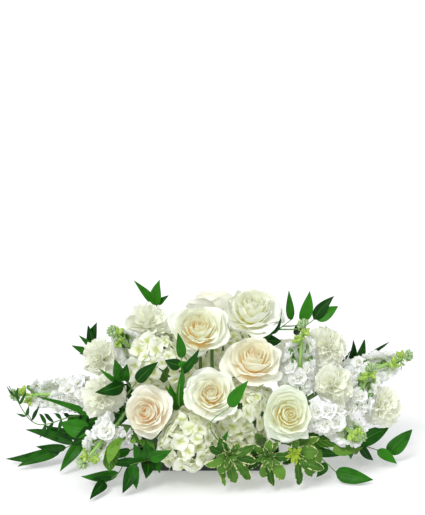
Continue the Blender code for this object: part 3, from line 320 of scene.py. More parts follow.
class Mass:
    """The room that a head takes: every point within a radius of the line from start to end."""

    def __init__(self, start, end, radius):
        self.start, self.end, self.radius = point(start), point(end), radius

    def nearest(self, places):
        """The nearest points on the line to some places."""
        along = self.end - self.start
        length = along @ along
        if length < 1e-9:
            return np.broadcast_to(self.start, np.shape(places))
        share = np.clip((places - self.start) @ along / length, 0, 1)
        return self.start + share[..., None] * along


def closest_pair(first, second):
    """The two points where the lines of two masses come closest."""
    here = (first.start + first.end) / 2
    for _ in range(PAIR_ROUNDS):
        there = second.nearest(here[None])[0]
        here = first.nearest(there[None])[0]
    return here, there


def contacts_of(mass):
    """The planes at which a mass meets its neighbours, as (point, normal, distance)."""
    planes = []
    for other in MASSES.values():
        if other is mass:
            continue
        here, there = closest_pair(mass, other)
        distance = np.linalg.norm(there - here)
        if distance < mass.radius + other.radius + HEAD_GAP:
            limit = distance * mass.radius / (mass.radius + other.radius) - HEAD_GAP / 2
            planes.append((here, (there - here) / distance, limit))
    return planes


def squeezed(points, planes, ease=0):
    """The points pressed back behind each plane, as petals that push against a neighbour are."""
    points = np.array(points, float)
    for _ in range(PRESS_ROUNDS):
        for origin, normal, limit in planes:
            limit += ease
            reach = (points - origin) @ normal
            knee = SQUEEZE_KNEE * limit
            room = limit - knee
            pressed = knee + room * (1 - np.exp(-np.maximum(reach - knee, 0) / room))
            points += np.where(reach > knee, pressed - reach, 0)[..., None] * normal
    return points


def lifted(points, share):
    """Leaf points moved out of the heads and off the table. share is 0 where a point has to stay."""
    points = np.array(points, float)
    for _ in range(PRESS_ROUNDS):
        for mass in MASSES.values():
            away = points - mass.nearest(points)
            distance = np.linalg.norm(away, axis=-1, keepdims=True) + 1e-6
            short = np.maximum(mass.radius + LEAF_LIFT - distance, 0)
            points += away / distance * short * share[..., None]
    points[..., 2] = np.maximum(points[..., 2], TABLE_CLEARANCE + BLADE_THICKNESS)
    return points


def curve_through(places, count):
    """count points on a smooth curve through some places, with centripetal spacing."""
    places = [point(p) for p in places]
    places = [2 * places[0] - places[1], *places, 2 * places[-1] - places[-2]]
    knots = [0.0]
    for a, b in zip(places, places[1:]):
        knots.append(knots[-1] + math.sqrt(np.linalg.norm(b - a)))
    curve = []
    for share in np.linspace(0, 1, count):
        t = knots[1] + share * (knots[-2] - knots[1])
        k = min(max(1, np.searchsorted(knots, t, side="right") - 1), len(places) - 3)
        level = places[k - 1:k + 3]
        spans = knots[k - 1:k + 3]
        for depth in (1, 2, 3):
            level = [
                blend_between(level[m], level[m + 1], spans, m, depth, t)
                for m in range(4 - depth)
            ]
        curve.append(level[0])
    return np.array(curve)


def blend_between(first, second, spans, m, depth, t):
    """One step of the pyramid that evaluates the smooth curve."""
    low, high = (spans[m], spans[m + depth]) if depth < 3 else (spans[1], spans[2])
    share = (t - low) / (high - low)
    return first * (1 - share) + second * share


def root_of(place, shift):
    """The point in the foam that a stem to a place aims at."""
    x = np.clip(ROOT_SHARE_X * place[0], -ROOT_LIMIT_X, ROOT_LIMIT_X)
    y = np.clip(ROOT_SHARE_Y * place[1], -ROOT_LIMIT_Y, ROOT_LIMIT_Y)
    return np.array((x + shift[0], y + shift[1], ROOT_HEIGHT + shift[1] * SHIFT_RISE))


def stem_ends(place, shift):
    """Where a stem to a place ends inside the foam, and where it comes out of it."""
    root = root_of(place, shift)
    along = unit(place - root)
    half = np.array((FOAM_LENGTH / 2, FOAM_WIDTH / 2, FOAM_TOP))
    edge = np.where(along > 0, half, np.array((-half[0], -half[1], DISH_FLOOR)))
    travel = np.min((edge - root)[np.abs(along) > 1e-6] / along[np.abs(along) > 1e-6])
    surface = root + along * travel
    return surface - along * min(STEM_DEPTH, travel + PAST_ROOT), surface


ROOT_TURNS = np.arange(0, 6.2, 0.785)
ROOT_SHIFTS = [(0, 0)] + [(r * math.cos(turn), r * math.sin(turn)) for r in ROOT_RINGS for turn in ROOT_TURNS]
SIDEWAYS = (
    (0, 0, 1), (1, 0, 0), (-1, 0, 0), (0, 1, 0), (0, -1, 0), (0, 0, -1),
    (0.7, 0.7, 0), (-0.7, 0.7, 0), (0.7, -0.7, 0), (-0.7, -0.7, 0),
)
BULGES = [point((0, 0, 0))] + [point(way) * size for size in BULGE_SIZES for way in SIDEWAYS]


def stem_ways(ways, arrive):
    """The ways that a stem may take from the foam: its end inside, and then its places outside."""
    for bulge in BULGES:
        for shift in ROOT_SHIFTS:
            inside, surface = stem_ends(point(ways[0]), shift)
            out = surface + unit(surface - inside) * STEM_COLLAR
            places = [out, *(point(w) for w in ways)]
            if arrive is not None:
                reach = np.linalg.norm(places[-1] - out)
                places.insert(-1, places[-1] - arrive * ARRIVE_SHARE * reach + bulge)
            else:
                places[1] = places[1] + bulge
            yield inside, places


class Solid:
    """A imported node's surface, which shows the way that its stem and leaves took."""

    def __init__(self, node):
        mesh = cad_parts[node].data
        points = [tuple(v.co / METRES) for v in mesh.vertices]
        self.tree = BVHTree.FromPolygons(points, [tuple(p.vertices) for p in mesh.polygons])

    def share_near(self, places, reach):
        """The share of some places that lie within reach of the surface."""
        near = [self.tree.find_nearest(tuple(place), reach)[0] is not None for place in places]
        return sum(near) / len(near)


def stem_path(node, ways, arrive, radius, count=STEM_POINTS):
    """The plain path that a node's stem took, and a fine one along the same way."""
    solid = Solid(node)
    best, taken = 0, None
    for inside, places in stem_ways(ways, arrive):
        plain = np.vstack((inside, curve_through(places, count)))
        near = solid.share_near(plain, radius)
        if near > best:
            best, taken = near, (inside, places, plain)
        if near == 1:
            break
    inside, places, plain = taken
    return plain, np.vstack((inside, curve_through(places, FINE_STEM_POINTS)))


MASSES = {}
for mass_name, mass_centre, mass_radius, *_ in (*ROSES, *HYDRANGEAS, *CARNATIONS):
    MASSES[mass_name] = Mass(mass_centre, mass_centre, mass_radius)
for mass_name, mass_base, mass_tip, mass_radius, zone in STOCKS:
    MASSES[mass_name] = Mass(mass_base, mass_base + zone * (point(mass_tip) - mass_base), mass_radius)


# Meshes with a place on each petal or leaf (UV) and a tone, a number from 0 to 1 that tells them apart

def shown(name, data):
    """A new object in the scene."""
    made = bpy.data.objects.new(name, data)
    bpy.context.scene.collection.objects.link(made)
    return made


def all_values(items, field, width=1, kind=float):
    """A field of all the items of a mesh, as one number or as width numbers for each."""
    values = np.empty(len(items) * width, kind)
    items.foreach_get(field, values)
    return values.reshape(-1, width) if width > 1 else values


def ring_faces(rings, sides):
    """The faces round closed rings of points that follow each other, with a flat end at both ends."""
    faces = [list(range(sides))[::-1], [(rings - 1) * sides + k for k in range(sides)]]
    for start in range(0, (rings - 1) * sides, sides):
        for k in range(sides):
            n = (k + 1) % sides
            faces.append([start + k, start + n, start + sides + n, start + sides + k])
    return faces


class Growth:
    """The petals, leaves and stems of one piece, gathered into one mesh with a finish for each."""

    def __init__(self):
        self.points, self.faces, self.uvs, self.tones, self.finishes, self.finish_of = [], [], [], [], [], []
        self.count = 0

    def add(self, points, faces, finish, uvs=None, tones=0.5):
        """Adds closed surfaces. uvs and tones have one value for each point."""
        points = np.asarray(points, float).reshape(-1, 3)
        if finish not in self.finishes:
            self.finishes.append(finish)
        self.points.append(points)
        self.uvs.append(np.zeros((len(points), 2)) if uvs is None else np.asarray(uvs))
        self.tones.append(np.broadcast_to(tones, len(points)))
        for face in faces:
            self.faces.append([corner + self.count for corner in face])
        self.finish_of += [self.finishes.index(finish)] * len(faces)
        self.count += len(points)

    def add_sheets(self, grids, thickness, finish=None, tones=None):
        """Adds a thin closed solid round each grid (sheet, row, column, xyz). tones has one for each."""
        count, rows, columns, _ = grids.shape
        normals = np.cross(np.gradient(grids, axis=2), np.gradient(grids, axis=1))
        normals /= np.linalg.norm(normals, axis=-1, keepdims=True) + 1e-9
        inside = np.zeros((rows, columns), bool)
        inside[1:-1, 1:-1] = True
        half = np.where(inside, thickness / 2, 0)[..., None]
        above = (grids + normals * half).reshape(count, -1, 3)
        below = (grids - normals * half).reshape(count, -1, 3)[:, inside.ravel()]
        points = np.concatenate((above, below), axis=1)
        top = np.arange(rows * columns).reshape(rows, columns)
        bottom = top.copy()
        bottom[inside] = rows * columns + np.arange(inside.sum())
        faces = []
        for r in range(rows - 1):
            for c in range(columns - 1):
                faces.append((top[r, c], top[r, c + 1], top[r + 1, c + 1], top[r + 1, c]))
                faces.append((bottom[r, c], bottom[r + 1, c], bottom[r + 1, c + 1], bottom[r, c + 1]))
        size = points.shape[1]
        every = (np.array(faces)[None] + np.arange(count)[:, None, None] * size).reshape(-1, 4).tolist()
        v, u = np.meshgrid(np.linspace(0, 1, rows), np.linspace(0, 1, columns), indexing="ij")
        uv = np.stack((u, v), axis=-1).reshape(-1, 2)
        uv = np.concatenate((uv, uv[inside.ravel()]))
        tones = 0.5 if tones is None else np.repeat(tones, size)
        self.add(points, every, finish, np.tile(uv, (count, 1)), tones)

    def add_tube(self, path, radii, finish=None, sides=9):
        """Adds a round stem along a path, closed at both ends. radii is one, or one for each point."""
        path = np.asarray(path, float)
        steps = unit(np.diff(path, axis=0))
        along = unit(np.vstack((steps[:1], steps[:-1] + steps[1:], steps[-1:])))
        side = np.cross(along[0], (0.2, 0.9, 0.3))
        angles = np.arange(sides) * 2 * math.pi / sides
        rings = []
        for place, direction, radius in zip(path, along, np.broadcast_to(radii, len(path))):
            side = unit(side - (side @ direction) * direction)
            other = np.cross(direction, side)
            rings.append(place + radius * (np.cos(angles)[:, None] * side + np.sin(angles)[:, None] * other))
        v = np.repeat(np.linspace(0, 1, len(path)), sides)
        uvs = np.stack((np.tile(angles / (2 * math.pi), len(path)), v), axis=-1)
        self.add(rings, ring_faces(len(path), sides), finish, uvs)

    def add_profiled(self, path, radius, seat, axis, profile, finish=None, sides=9):
        """Adds a stem that goes on along an axis, with a radius for each height of the profile."""
        radii = [radius] * len(path) + [wide for _, wide in profile]
        self.add_tube([*path, *(seat + axis * height for height, _ in profile)], radii, finish, sides)

    def mesh(self, name, scale):
        """The growth's surfaces and UVs as a mesh."""
        mesh = bpy.data.meshes.new(name)
        mesh.from_pydata((np.concatenate(self.points) * scale).tolist(), [], self.faces)
        corners = all_values(mesh.loops, "vertex_index", kind=int)
        mesh.uv_layers.new(name="UVMap").data.foreach_set("uv", np.concatenate(self.uvs)[corners].ravel())
        return mesh

    def pattern(self, name):
        """An object that is only planted, not shown."""
        return bpy.data.objects.new(name, self.mesh(name, 1.0))

    def piece(self, name, slot, *nodes):
        """Shows the finished object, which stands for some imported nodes."""
        mesh = self.mesh(name, METRES)
        mesh.attributes.new("tone", "FLOAT", "POINT").data.foreach_set("value", np.concatenate(self.tones))
        for finish in self.finishes:
            mesh.materials.append(finish)
        mesh.polygons.foreach_set("material_index", self.finish_of)
        mesh.polygons.foreach_set("use_smooth", [True] * len(mesh.polygons))
        mesh.update()
        mesh.set_sharp_from_angle(angle=SHARP_RIMS)
        obj = shown(name, mesh)
        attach(obj, "root")
        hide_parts(*nodes)


# Nodes of finishes and of the planting

def feed(tree, socket, value):
    """Links a value to a node's input, or sets the input where the value is a number, vector or colour."""
    value = getattr(value, "socket", value)
    if isinstance(value, bpy.types.NodeSocket):
        tree.links.new(value, socket)
    else:
        socket.default_value = (*value, 1.0) if socket.type == "RGBA" else value


def add_node(tree, kind, settings, inputs):
    """A new node, with its settings and inputs."""
    made = tree.nodes.new(kind)
    for key, value in settings.items():
        setattr(made, key, value)
    for key, value in inputs.items():
        feed(tree, made.inputs[key], value)
    return made


class Value:
    """A shader number whose arithmetic adds Math nodes."""

    def __init__(self, finish, socket):
        self.finish, self.socket = finish, socket

    def maths(self, operation, *others):
        return self.finish.node("ShaderNodeMath", {"operation": operation}, dict(enumerate((self, *others))))

    def __add__(self, other):
        return self.maths("ADD", other)

    def __sub__(self, other):
        return self.maths("SUBTRACT", other)

    def __mul__(self, other):
        return self.maths("MULTIPLY", other)

    def __pow__(self, other):
        return self.maths("POWER", other)


class Finish:
    """A material built node by node."""

    def __init__(self, name):
        self.material = bpy.data.materials.new(name)
        self.material.use_nodes = True
        self.tree = self.material.node_tree

    def node(self, kind, settings, inputs, output=0):
        return Value(self, add_node(self.tree, kind, settings, inputs).outputs[output])

    def place(self, kind="Object"):
        return self.node("ShaderNodeTexCoord", {}, {}, kind)

    def uv(self):
        """Across and along a petal or leaf, each from 0 to 1."""
        across = self.node("ShaderNodeSeparateXYZ", {}, {0: self.place("UV")})
        return across, Value(self, across.socket.node.outputs[1])

    def tone(self):
        return self.node("ShaderNodeAttribute", {"attribute_name": "tone"}, {}, "Fac")

    def noise(self, scale, detail=3.0, vector=None):
        vector = vector or self.place()
        return self.node("ShaderNodeTexNoise", {}, {"Vector": vector, "Scale": scale, "Detail": detail})

    def streaks(self, scales, kind="UV", detail=2.0):
        """Noise with its own scale in each direction."""
        vector = self.node("ShaderNodeMapping", {}, {"Vector": self.place(kind), "Scale": scales})
        return self.noise(1.0, detail, vector)

    def ramp(self, value, low, high):
        """0 below low, 1 above high and smooth between."""
        settings = {"interpolation_type": "SMOOTHSTEP"}
        return self.node("ShaderNodeMapRange", settings, {"Value": value, "From Min": low, "From Max": high})

    def mix(self, share, first, second):
        """The first colour where share is 0, and the second where it is 1."""
        return self.node("ShaderNodeMix", {"data_type": "RGBA"}, {0: share, 6: first, 7: second}, 2)

    def bump(self, height, distance):
        return self.node("ShaderNodeBump", {}, {"Height": height, "Distance": distance, "Strength": 1.0})

    def made(self, **sockets):
        """The material, with its shader's inputs set."""
        for key, value in sockets.items():
            feed(self.tree, self.tree.nodes["Principled BSDF"].inputs[key.replace("_", " ")], value)
        return self.material


# Finishes

# The petals glow faintly in their own colour: painted light that lifts their shade, as light through the
# petals would.
PETAL_PAINTED_GLOW = 0.09
PETAL_RELIEF = 0.0004
LEAF_RELIEF = 0.0005
LEAF_SHEEN = 0.13
STEM_RELIEF = 0.0003


def petal_finish(name, root, heart, face, rim, veins=60, fade=(0.0, 0.45), inner=0.0):
    """Petals from the heart's colour through the face's to the rim's, by tone.

    root is the colour of each petal's foot, partly the flower's own colour there and partly painted light and
    shade:
    a deeper, more saturated tint in the crevices. It fades between the shares of the petal in fade, or by
    inner sooner on the outer petals.
    """
    finish = Finish(name)
    _, along = finish.uv()
    age = finish.tone() * 0.75 + along * 0.25 + (finish.noise(55) - 0.5) * 0.30
    base = finish.mix(finish.ramp(age, 0.05, 0.50), heart, face)
    base = finish.mix(finish.ramp(age, 0.45, 1.0), base, rim)
    # painted light and shade: each petal's foot takes the root colour, a deeper, more saturated tint in the
    # crevices
    base = finish.mix(finish.ramp(along + finish.tone() * inner, *fade), root, base)
    height = finish.streaks((veins, 4, 1)) * 0.6 + finish.noise(260) * 0.4
    return finish.made(
        Base_Color=base,
        # painted light: a faint glow in the petals' colour that lifts their shade
        Emission_Color=base,
        Emission_Strength=PETAL_PAINTED_GLOW,
        Roughness=finish.noise(40) * 0.2 + 0.5,
        Normal=finish.bump(height, PETAL_RELIEF),
        Specular_IOR_Level=0.2,
        Subsurface_Weight=0.3,
        Subsurface_Radius=(0.008, 0.008, 0.005),
        Subsurface_Scale=1.0,
    )


def leaf_finish(name, dark, light, rib, gloss, rib_width=0.05, veins=None, edge=None):
    """Leaves in two greens with a pale rib down the middle, fine veins, and for some an uneven pale edge."""
    finish = Finish(name)
    across, along = finish.uv()
    off_middle = (across - 0.5).maths("ABSOLUTE")
    mottle = finish.noise(55) * 0.5 + finish.tone() * 0.6 - 0.05
    base = finish.mix(finish.ramp(mottle, 0.2, 0.85), dark, light)
    rib_mask = finish.ramp(off_middle, rib_width * 0.3, rib_width) * -1.0 + 1.0
    if veins:
        wave = ((along * veins - off_middle * veins * 0.55).maths("SINE") * 0.5 + 0.5) ** 6.0
        base = finish.mix(wave * 0.35, base, rib)
        height = rib_mask * 0.8 + wave * 0.5
    else:
        height = rib_mask + finish.streaks((40, 2, 1)) * 0.6
    base = finish.mix(rib_mask * 0.6, base, rib)
    if edge:
        margin = off_middle * 2.0 + along**6.0 * 0.3 + (finish.noise(150) - 0.5) * 1.7
        base = finish.mix(finish.ramp(margin, 0.94, 1.06), base, edge)
    return finish.made(
        Base_Color=base,
        Roughness=finish.noise(90) * 0.12 + gloss,
        Normal=finish.bump(height, LEAF_RELIEF),
        Specular_IOR_Level=LEAF_SHEEN,
    )


def stem_finish(name, dark, light):
    finish = Finish(name)
    streaks = finish.streaks((300, 300, 60), "Object", 3.0)
    return finish.made(
        Base_Color=finish.mix(finish.ramp(streaks, 0.3, 0.7), dark, light),
        Roughness=finish.noise(120) * 0.2 + 0.4,
        Normal=finish.bump(streaks, STEM_RELIEF),
    )


def plain_finish(name, dark, light, mottle, blend, polish, rough, uneven, relief, depth):
    """Two tones. mottle, polish and relief are each the scale of a noise, or its scale and detail."""
    finish = Finish(name)
    return finish.made(
        Base_Color=finish.mix(finish.ramp(finish.noise(*mottle), 0.5 - blend, 0.5 + blend), dark, light),
        Roughness=finish.noise(*polish) * uneven + rough,
        Normal=finish.bump(finish.noise(*relief), depth),
    )


# how far up a petal the foot's tint, partly painted shade, reaches, and how much sooner it fades on outer
# petals
ROSE_FADE = (0.34, 0.92)
ROSE_INNER = 0.38
# Petals: the colours of their foot, heart, face and rim. The foot's colour is partly the rose's own and
# partly painted light and shade, a deep warm tint in the crevices
ROSE_TINTS = {
    "rose_top": ((0.80, 0.78, 0.30), (0.88, 0.87, 0.66), (0.87, 0.89, 0.72), (0.88, 0.90, 0.82)),
    "rose_crown": ((0.95, 0.68, 0.20), (0.93, 0.85, 0.58), (0.88, 0.89, 0.68), (0.87, 0.90, 0.80)),
    "rose_inner_right": ((0.95, 0.64, 0.22), (0.94, 0.82, 0.56), (0.91, 0.88, 0.67), (0.90, 0.90, 0.79)),
    "rose_centre": ((0.95, 0.68, 0.22), (0.93, 0.87, 0.62), (0.89, 0.90, 0.72), (0.88, 0.91, 0.82)),
    "rose_lower_left": ((0.95, 0.62, 0.28), (0.94, 0.83, 0.62), (0.91, 0.88, 0.72), (0.90, 0.90, 0.81)),
    "rose_lower_right": ((0.92, 0.77, 0.22), (0.91, 0.88, 0.58), (0.87, 0.90, 0.70), (0.86, 0.91, 0.80)),
    "rose_back": ((0.95, 0.70, 0.26), (0.94, 0.86, 0.62), (0.90, 0.88, 0.70), (0.88, 0.89, 0.78)),
}
# The foot's colour of these petals is partly their own and partly painted shade, a deeper tint in the
# crevices.
HYDRANGEA_PETALS = petal_finish(
    "hydrangea petals", (0.54, 0.60, 0.18), (0.68, 0.72, 0.38), (0.82, 0.85, 0.64), (0.88, 0.90, 0.79)
)
CARNATION_PETALS = petal_finish(
    "carnation petals", (0.58, 0.68, 0.30), (0.80, 0.82, 0.56), (0.86, 0.88, 0.74), (0.89, 0.90, 0.84), 30
)
STOCK_PETALS = petal_finish(
    "stock petals", (0.58, 0.68, 0.36), (0.76, 0.80, 0.60), (0.86, 0.88, 0.82), (0.90, 0.91, 0.90), 24
)
STEM_GREEN = stem_finish("cut stems", (0.07, 0.18, 0.03), (0.17, 0.32, 0.07))
STOCK_STEM_GREEN = stem_finish("stock stems", (0.22, 0.46, 0.08), (0.40, 0.62, 0.18))
BUD_GREEN = stem_finish("stock buds", (0.20, 0.40, 0.04), (0.50, 0.64, 0.14))
TIP_GREEN = stem_finish("crowded tip buds", (0.16, 0.32, 0.10), (0.50, 0.62, 0.34))
# The calyces' dark green, also used for the hydrangeas' cores, where it is partly the inner stalks and partly
# painted shade.
CALYX_AND_SHADE_GREEN = stem_finish("calyces", (0.03, 0.13, 0.01), (0.16, 0.34, 0.05))
# Leaves: two greens, the rib's colour, the least roughness, and the width of the rib and number of veins
LEAF_FINISHES = {
    "ruscus": leaf_finish(
        "ruscus leaves", (0.004, 0.045, 0.002), (0.030, 0.200, 0.006), (0.06, 0.24, 0.02), 0.30
    ),
    "salal": leaf_finish(
        "salal leaves", (0.03, 0.12, 0.006), (0.15, 0.33, 0.035), (0.26, 0.44, 0.09), 0.38, 0.04, 48
    ),
    "fern": leaf_finish(
        "fern leaflets", (0.003, 0.035, 0.002), (0.015, 0.11, 0.006), (0.03, 0.14, 0.01), 0.5
    ),
    "pittosporum": leaf_finish(
        "pittosporum leaves", (0.020, 0.085, 0.008), (0.125, 0.275, 0.035), (0.16, 0.32, 0.06), 0.36,
        edge=(0.62, 0.66, 0.32),
    ),
}
NEW_LEAVES = leaf_finish("new leaves", (0.22, 0.38, 0.03), (0.50, 0.62, 0.06), (0.55, 0.66, 0.20), 0.4)
# The dish's dark green plastic, darkened to near black: partly its own colour and partly painted shade
DISH_PLASTIC_AND_SHADE = plain_finish(
    "moulded dish", (0.004, 0.016, 0.006), (0.010, 0.035, 0.014),
    mottle=(12,), blend=0.2, polish=(60,), rough=0.3, uneven=0.15, relief=(900,), depth=0.00012,
)
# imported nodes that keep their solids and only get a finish
NODE_FINISHES = {
    "foam": plain_finish(
        "wet foam", (0.015, 0.06, 0.02), (0.05, 0.15, 0.06),
        mottle=(1400, 2.0), blend=0.15, polish=(30,), rough=0.6, uneven=0.2, relief=(1400, 2.0), depth=0.0008,
    ),
    "tape": plain_finish(
        "florist's tape", (0.03, 0.14, 0.05), (0.06, 0.20, 0.08),
        mottle=(200,), blend=0.2, polish=(150,), rough=0.3, uneven=0.2, relief=(600,), depth=0.0002,
    ),
}


# Planting by nodes: a piece at each point of a mesh, turned along the point's two directions

PLANTING_INPUTS = (
    ("Geometry", "Geometry"), ("Piece", "Object"), ("Turn spread", "Float"), ("Tilt spread", "Float"),
    ("Size spread", "Float"), ("Seed", "Int"), ("Finish", "Material"),
)


def planting_tree():
    """Geometry Nodes that put a copy of a piece at every point, by its facing, along and size attributes."""
    tree = bpy.data.node_groups.new("planting", "GeometryNodeTree")
    for name, kind in PLANTING_INPUTS:
        tree.interface.new_socket(name, in_out="INPUT", socket_type="NodeSocket" + kind)
    tree.interface.new_socket("Geometry", in_out="OUTPUT", socket_type="NodeSocketGeometry")

    def node(kind, inputs, output=0, **settings):
        return add_node(tree, kind, settings, inputs).outputs[output]

    def named(name, kind):
        return node("GeometryNodeInputNamedAttribute", {"Name": name}, "Attribute", data_type=kind)

    given = tree.nodes.new("NodeGroupInput").outputs
    seed = given["Seed"]
    axes = node("FunctionNodeAxesToRotation", {
        "Primary Axis": named("facing", "FLOAT_VECTOR"), "Secondary Axis": named("along", "FLOAT_VECTOR"),
    }, primary_axis="Z", secondary_axis="Y")
    chance = node("FunctionNodeRandomValue", {2: -1.0, 3: 1.0, "Seed": seed}, 1, data_type="FLOAT")
    tilt = node(
        "FunctionNodeRandomValue", {0: (-1, -1, 0), 1: (1, 1, 0), "Seed": seed}, data_type="FLOAT_VECTOR"
    )
    tilted = node("ShaderNodeVectorMath", {0: tilt, "Scale": given["Tilt spread"]}, operation="SCALE")
    turned = node("ShaderNodeMath", {0: chance, 1: given["Turn spread"]}, operation="MULTIPLY")
    spin = node("ShaderNodeCombineXYZ", {"Z": turned})
    wobble = node("ShaderNodeVectorMath", {0: tilted, 1: spin}, operation="ADD")
    euler = node("FunctionNodeEulerToRotation", {0: wobble})
    rotation = node("FunctionNodeRotateRotation", {0: axes, 1: euler}, rotation_space="LOCAL")
    spread = node("ShaderNodeMath", {0: chance, 1: given["Size spread"], 2: 1.0}, operation="MULTIPLY_ADD")
    size = node("ShaderNodeMath", {0: spread, 1: named("size", "FLOAT")}, operation="MULTIPLY")
    piece = node("GeometryNodeObjectInfo", {"Object": given["Piece"]}, "Geometry")
    planted = node("GeometryNodeInstanceOnPoints", {
        "Points": given["Geometry"], "Instance": piece, "Rotation": rotation, "Scale": size,
    })
    real = node("GeometryNodeRealizeInstances", {"Geometry": planted})
    finished = node("GeometryNodeSetMaterial", {"Geometry": real, "Material": given["Finish"]})
    tree.links.new(finished, tree.nodes.new("NodeGroupOutput").inputs[0])
    return tree


PLANTING = planting_tree()


def plant(growth, pieces, finish, beds, spreads, seed, planes=()):
    """Adds a piece to a growth at each bed, by turns, and presses them back behind some planes.

    beds has the places, facings, directions along, sizes and tones. spreads are the largest random turn and
    tilt, and the share by which the size varies.
    """
    for kind, piece in enumerate(pieces):
        places, *values = (np.asarray(field, float)[kind::len(pieces)] for field in beds)
        mesh = bpy.data.meshes.new("beds")
        mesh.from_pydata(places.tolist(), [], [])
        for name, value in zip(("facing", "along", "size", "tone"), values):
            form, field = ("FLOAT_VECTOR", "vector") if value.ndim == 2 else ("FLOAT", "value")
            mesh.attributes.new(name, form, "POINT").data.foreach_set(field, value.ravel())
        bed = shown("beds", mesh)
        planter = bed.modifiers.new("planting", "NODES")
        planter.node_group = PLANTING
        wanted = dict(zip(("Turn spread", "Tilt spread", "Size spread"), spreads))
        wanted.update({"Piece": piece, "Seed": seed + kind, "Finish": finish})
        for socket in PLANTING.interface.items_tree:
            if socket.name in wanted:
                planter[socket.identifier] = wanted[socket.name]
        grown = bpy.data.meshes.new_from_object(bed.evaluated_get(bpy.context.evaluated_depsgraph_get()))
        bed.modifiers.remove(planter)
        bpy.data.objects.remove(bed)
        points = squeezed(all_values(grown.vertices, "co", 3), planes, PETAL_EASE)
        uvs = np.zeros((len(points), 2))
        corners = all_values(grown.loops, "vertex_index", kind=int)
        uvs[corners] = all_values(grown.attributes["UVMap"].data, "vector", 2)
        tones = all_values(grown.attributes["tone"].data, "value")
        growth.add(points, [tuple(p.vertices) for p in grown.polygons], finish, uvs, tones)
        bpy.data.meshes.remove(grown)


# Petals as grids: sheet, row from foot to rim, and column from side to side

def sheet_axes(rows, columns):
    """The share of each row, from 0 to 1, and of each column, from -1 to 1."""
    return np.linspace(0, 1, rows)[None, :, None], np.linspace(-1, 1, columns)[None, None, :]


def own_draws(draw, count):
    """A function that draws one random number for each petal, shaped to fit grids."""
    return lambda *limits: draw(*limits, count)[:, None, None]


def spread_petals(out, side, turns, height):
    """Grids of petals that lie out from the middle and to the side, each turned round the axis."""
    x = out * np.cos(turns) - side * np.sin(turns)
    y = out * np.sin(turns) + side * np.cos(turns)
    return np.stack((x, y, height + 0 * x), axis=-1)


def leaning_axes(lean, turn):
    """The direction of petals that lean from the axis, the direction across them, and their facing."""
    along = np.stack((np.sin(lean) * np.cos(turn), np.sin(lean) * np.sin(turn), np.cos(lean)), axis=-1)
    across = np.stack((-np.sin(turn), np.cos(turn), 0 * turn), axis=-1)
    return along, across, np.cross(along, across)


def leaning_petals(along, across, face, reach, side, ruffle):
    return along * reach[..., None] + across * side[..., None] - face * ruffle[..., None]


# Roses

ROSE_CENTRE_SHARE = 0.62
ROSE_PETAL_THICKNESS = 0.6
ROSE_SHEET = (12, 17)
# how far below the bloom's seat the stem's way ends
ROSE_STEM_END = 14
# petals from the heart outwards: number, reach and height of the rim at the zone's two ends, half width in
# degrees at the two ends, reach of the belly past the rim's and its height, and how far the rims roll back
ROSE_ZONES = (
    (15, (0.00, 0.34), (1.08, 1.15), (105, 70), 0.10, 0.70, 0.15),
    (10, (0.38, 0.66), (1.14, 1.04), (70, 60), 0.12, 0.44, 0.8),
    (9, (0.70, 0.96), (0.98, 0.60), (62, 52), 0.04, 0.22, 1.1),
)
ROSE_RUFFLES = {"rose_top": 2.4, "rose_crown": 1.4}
# the size of a rim's roll, and the share of a petal from which it rolls
ROSE_ROLL = 0.085
ROSE_ROLL_FROM = 0.66
# height over the seat and radius at each ring of the hip
ROSE_HIP = ((-10, 5.2), (-7, 6.5), (-3, 6.3), (-SEAT_GAP, 5.0))
SEPALS = 5
SEPAL_HALF_WIDTH = 3.6
SEPAL_THICKNESS = 0.8


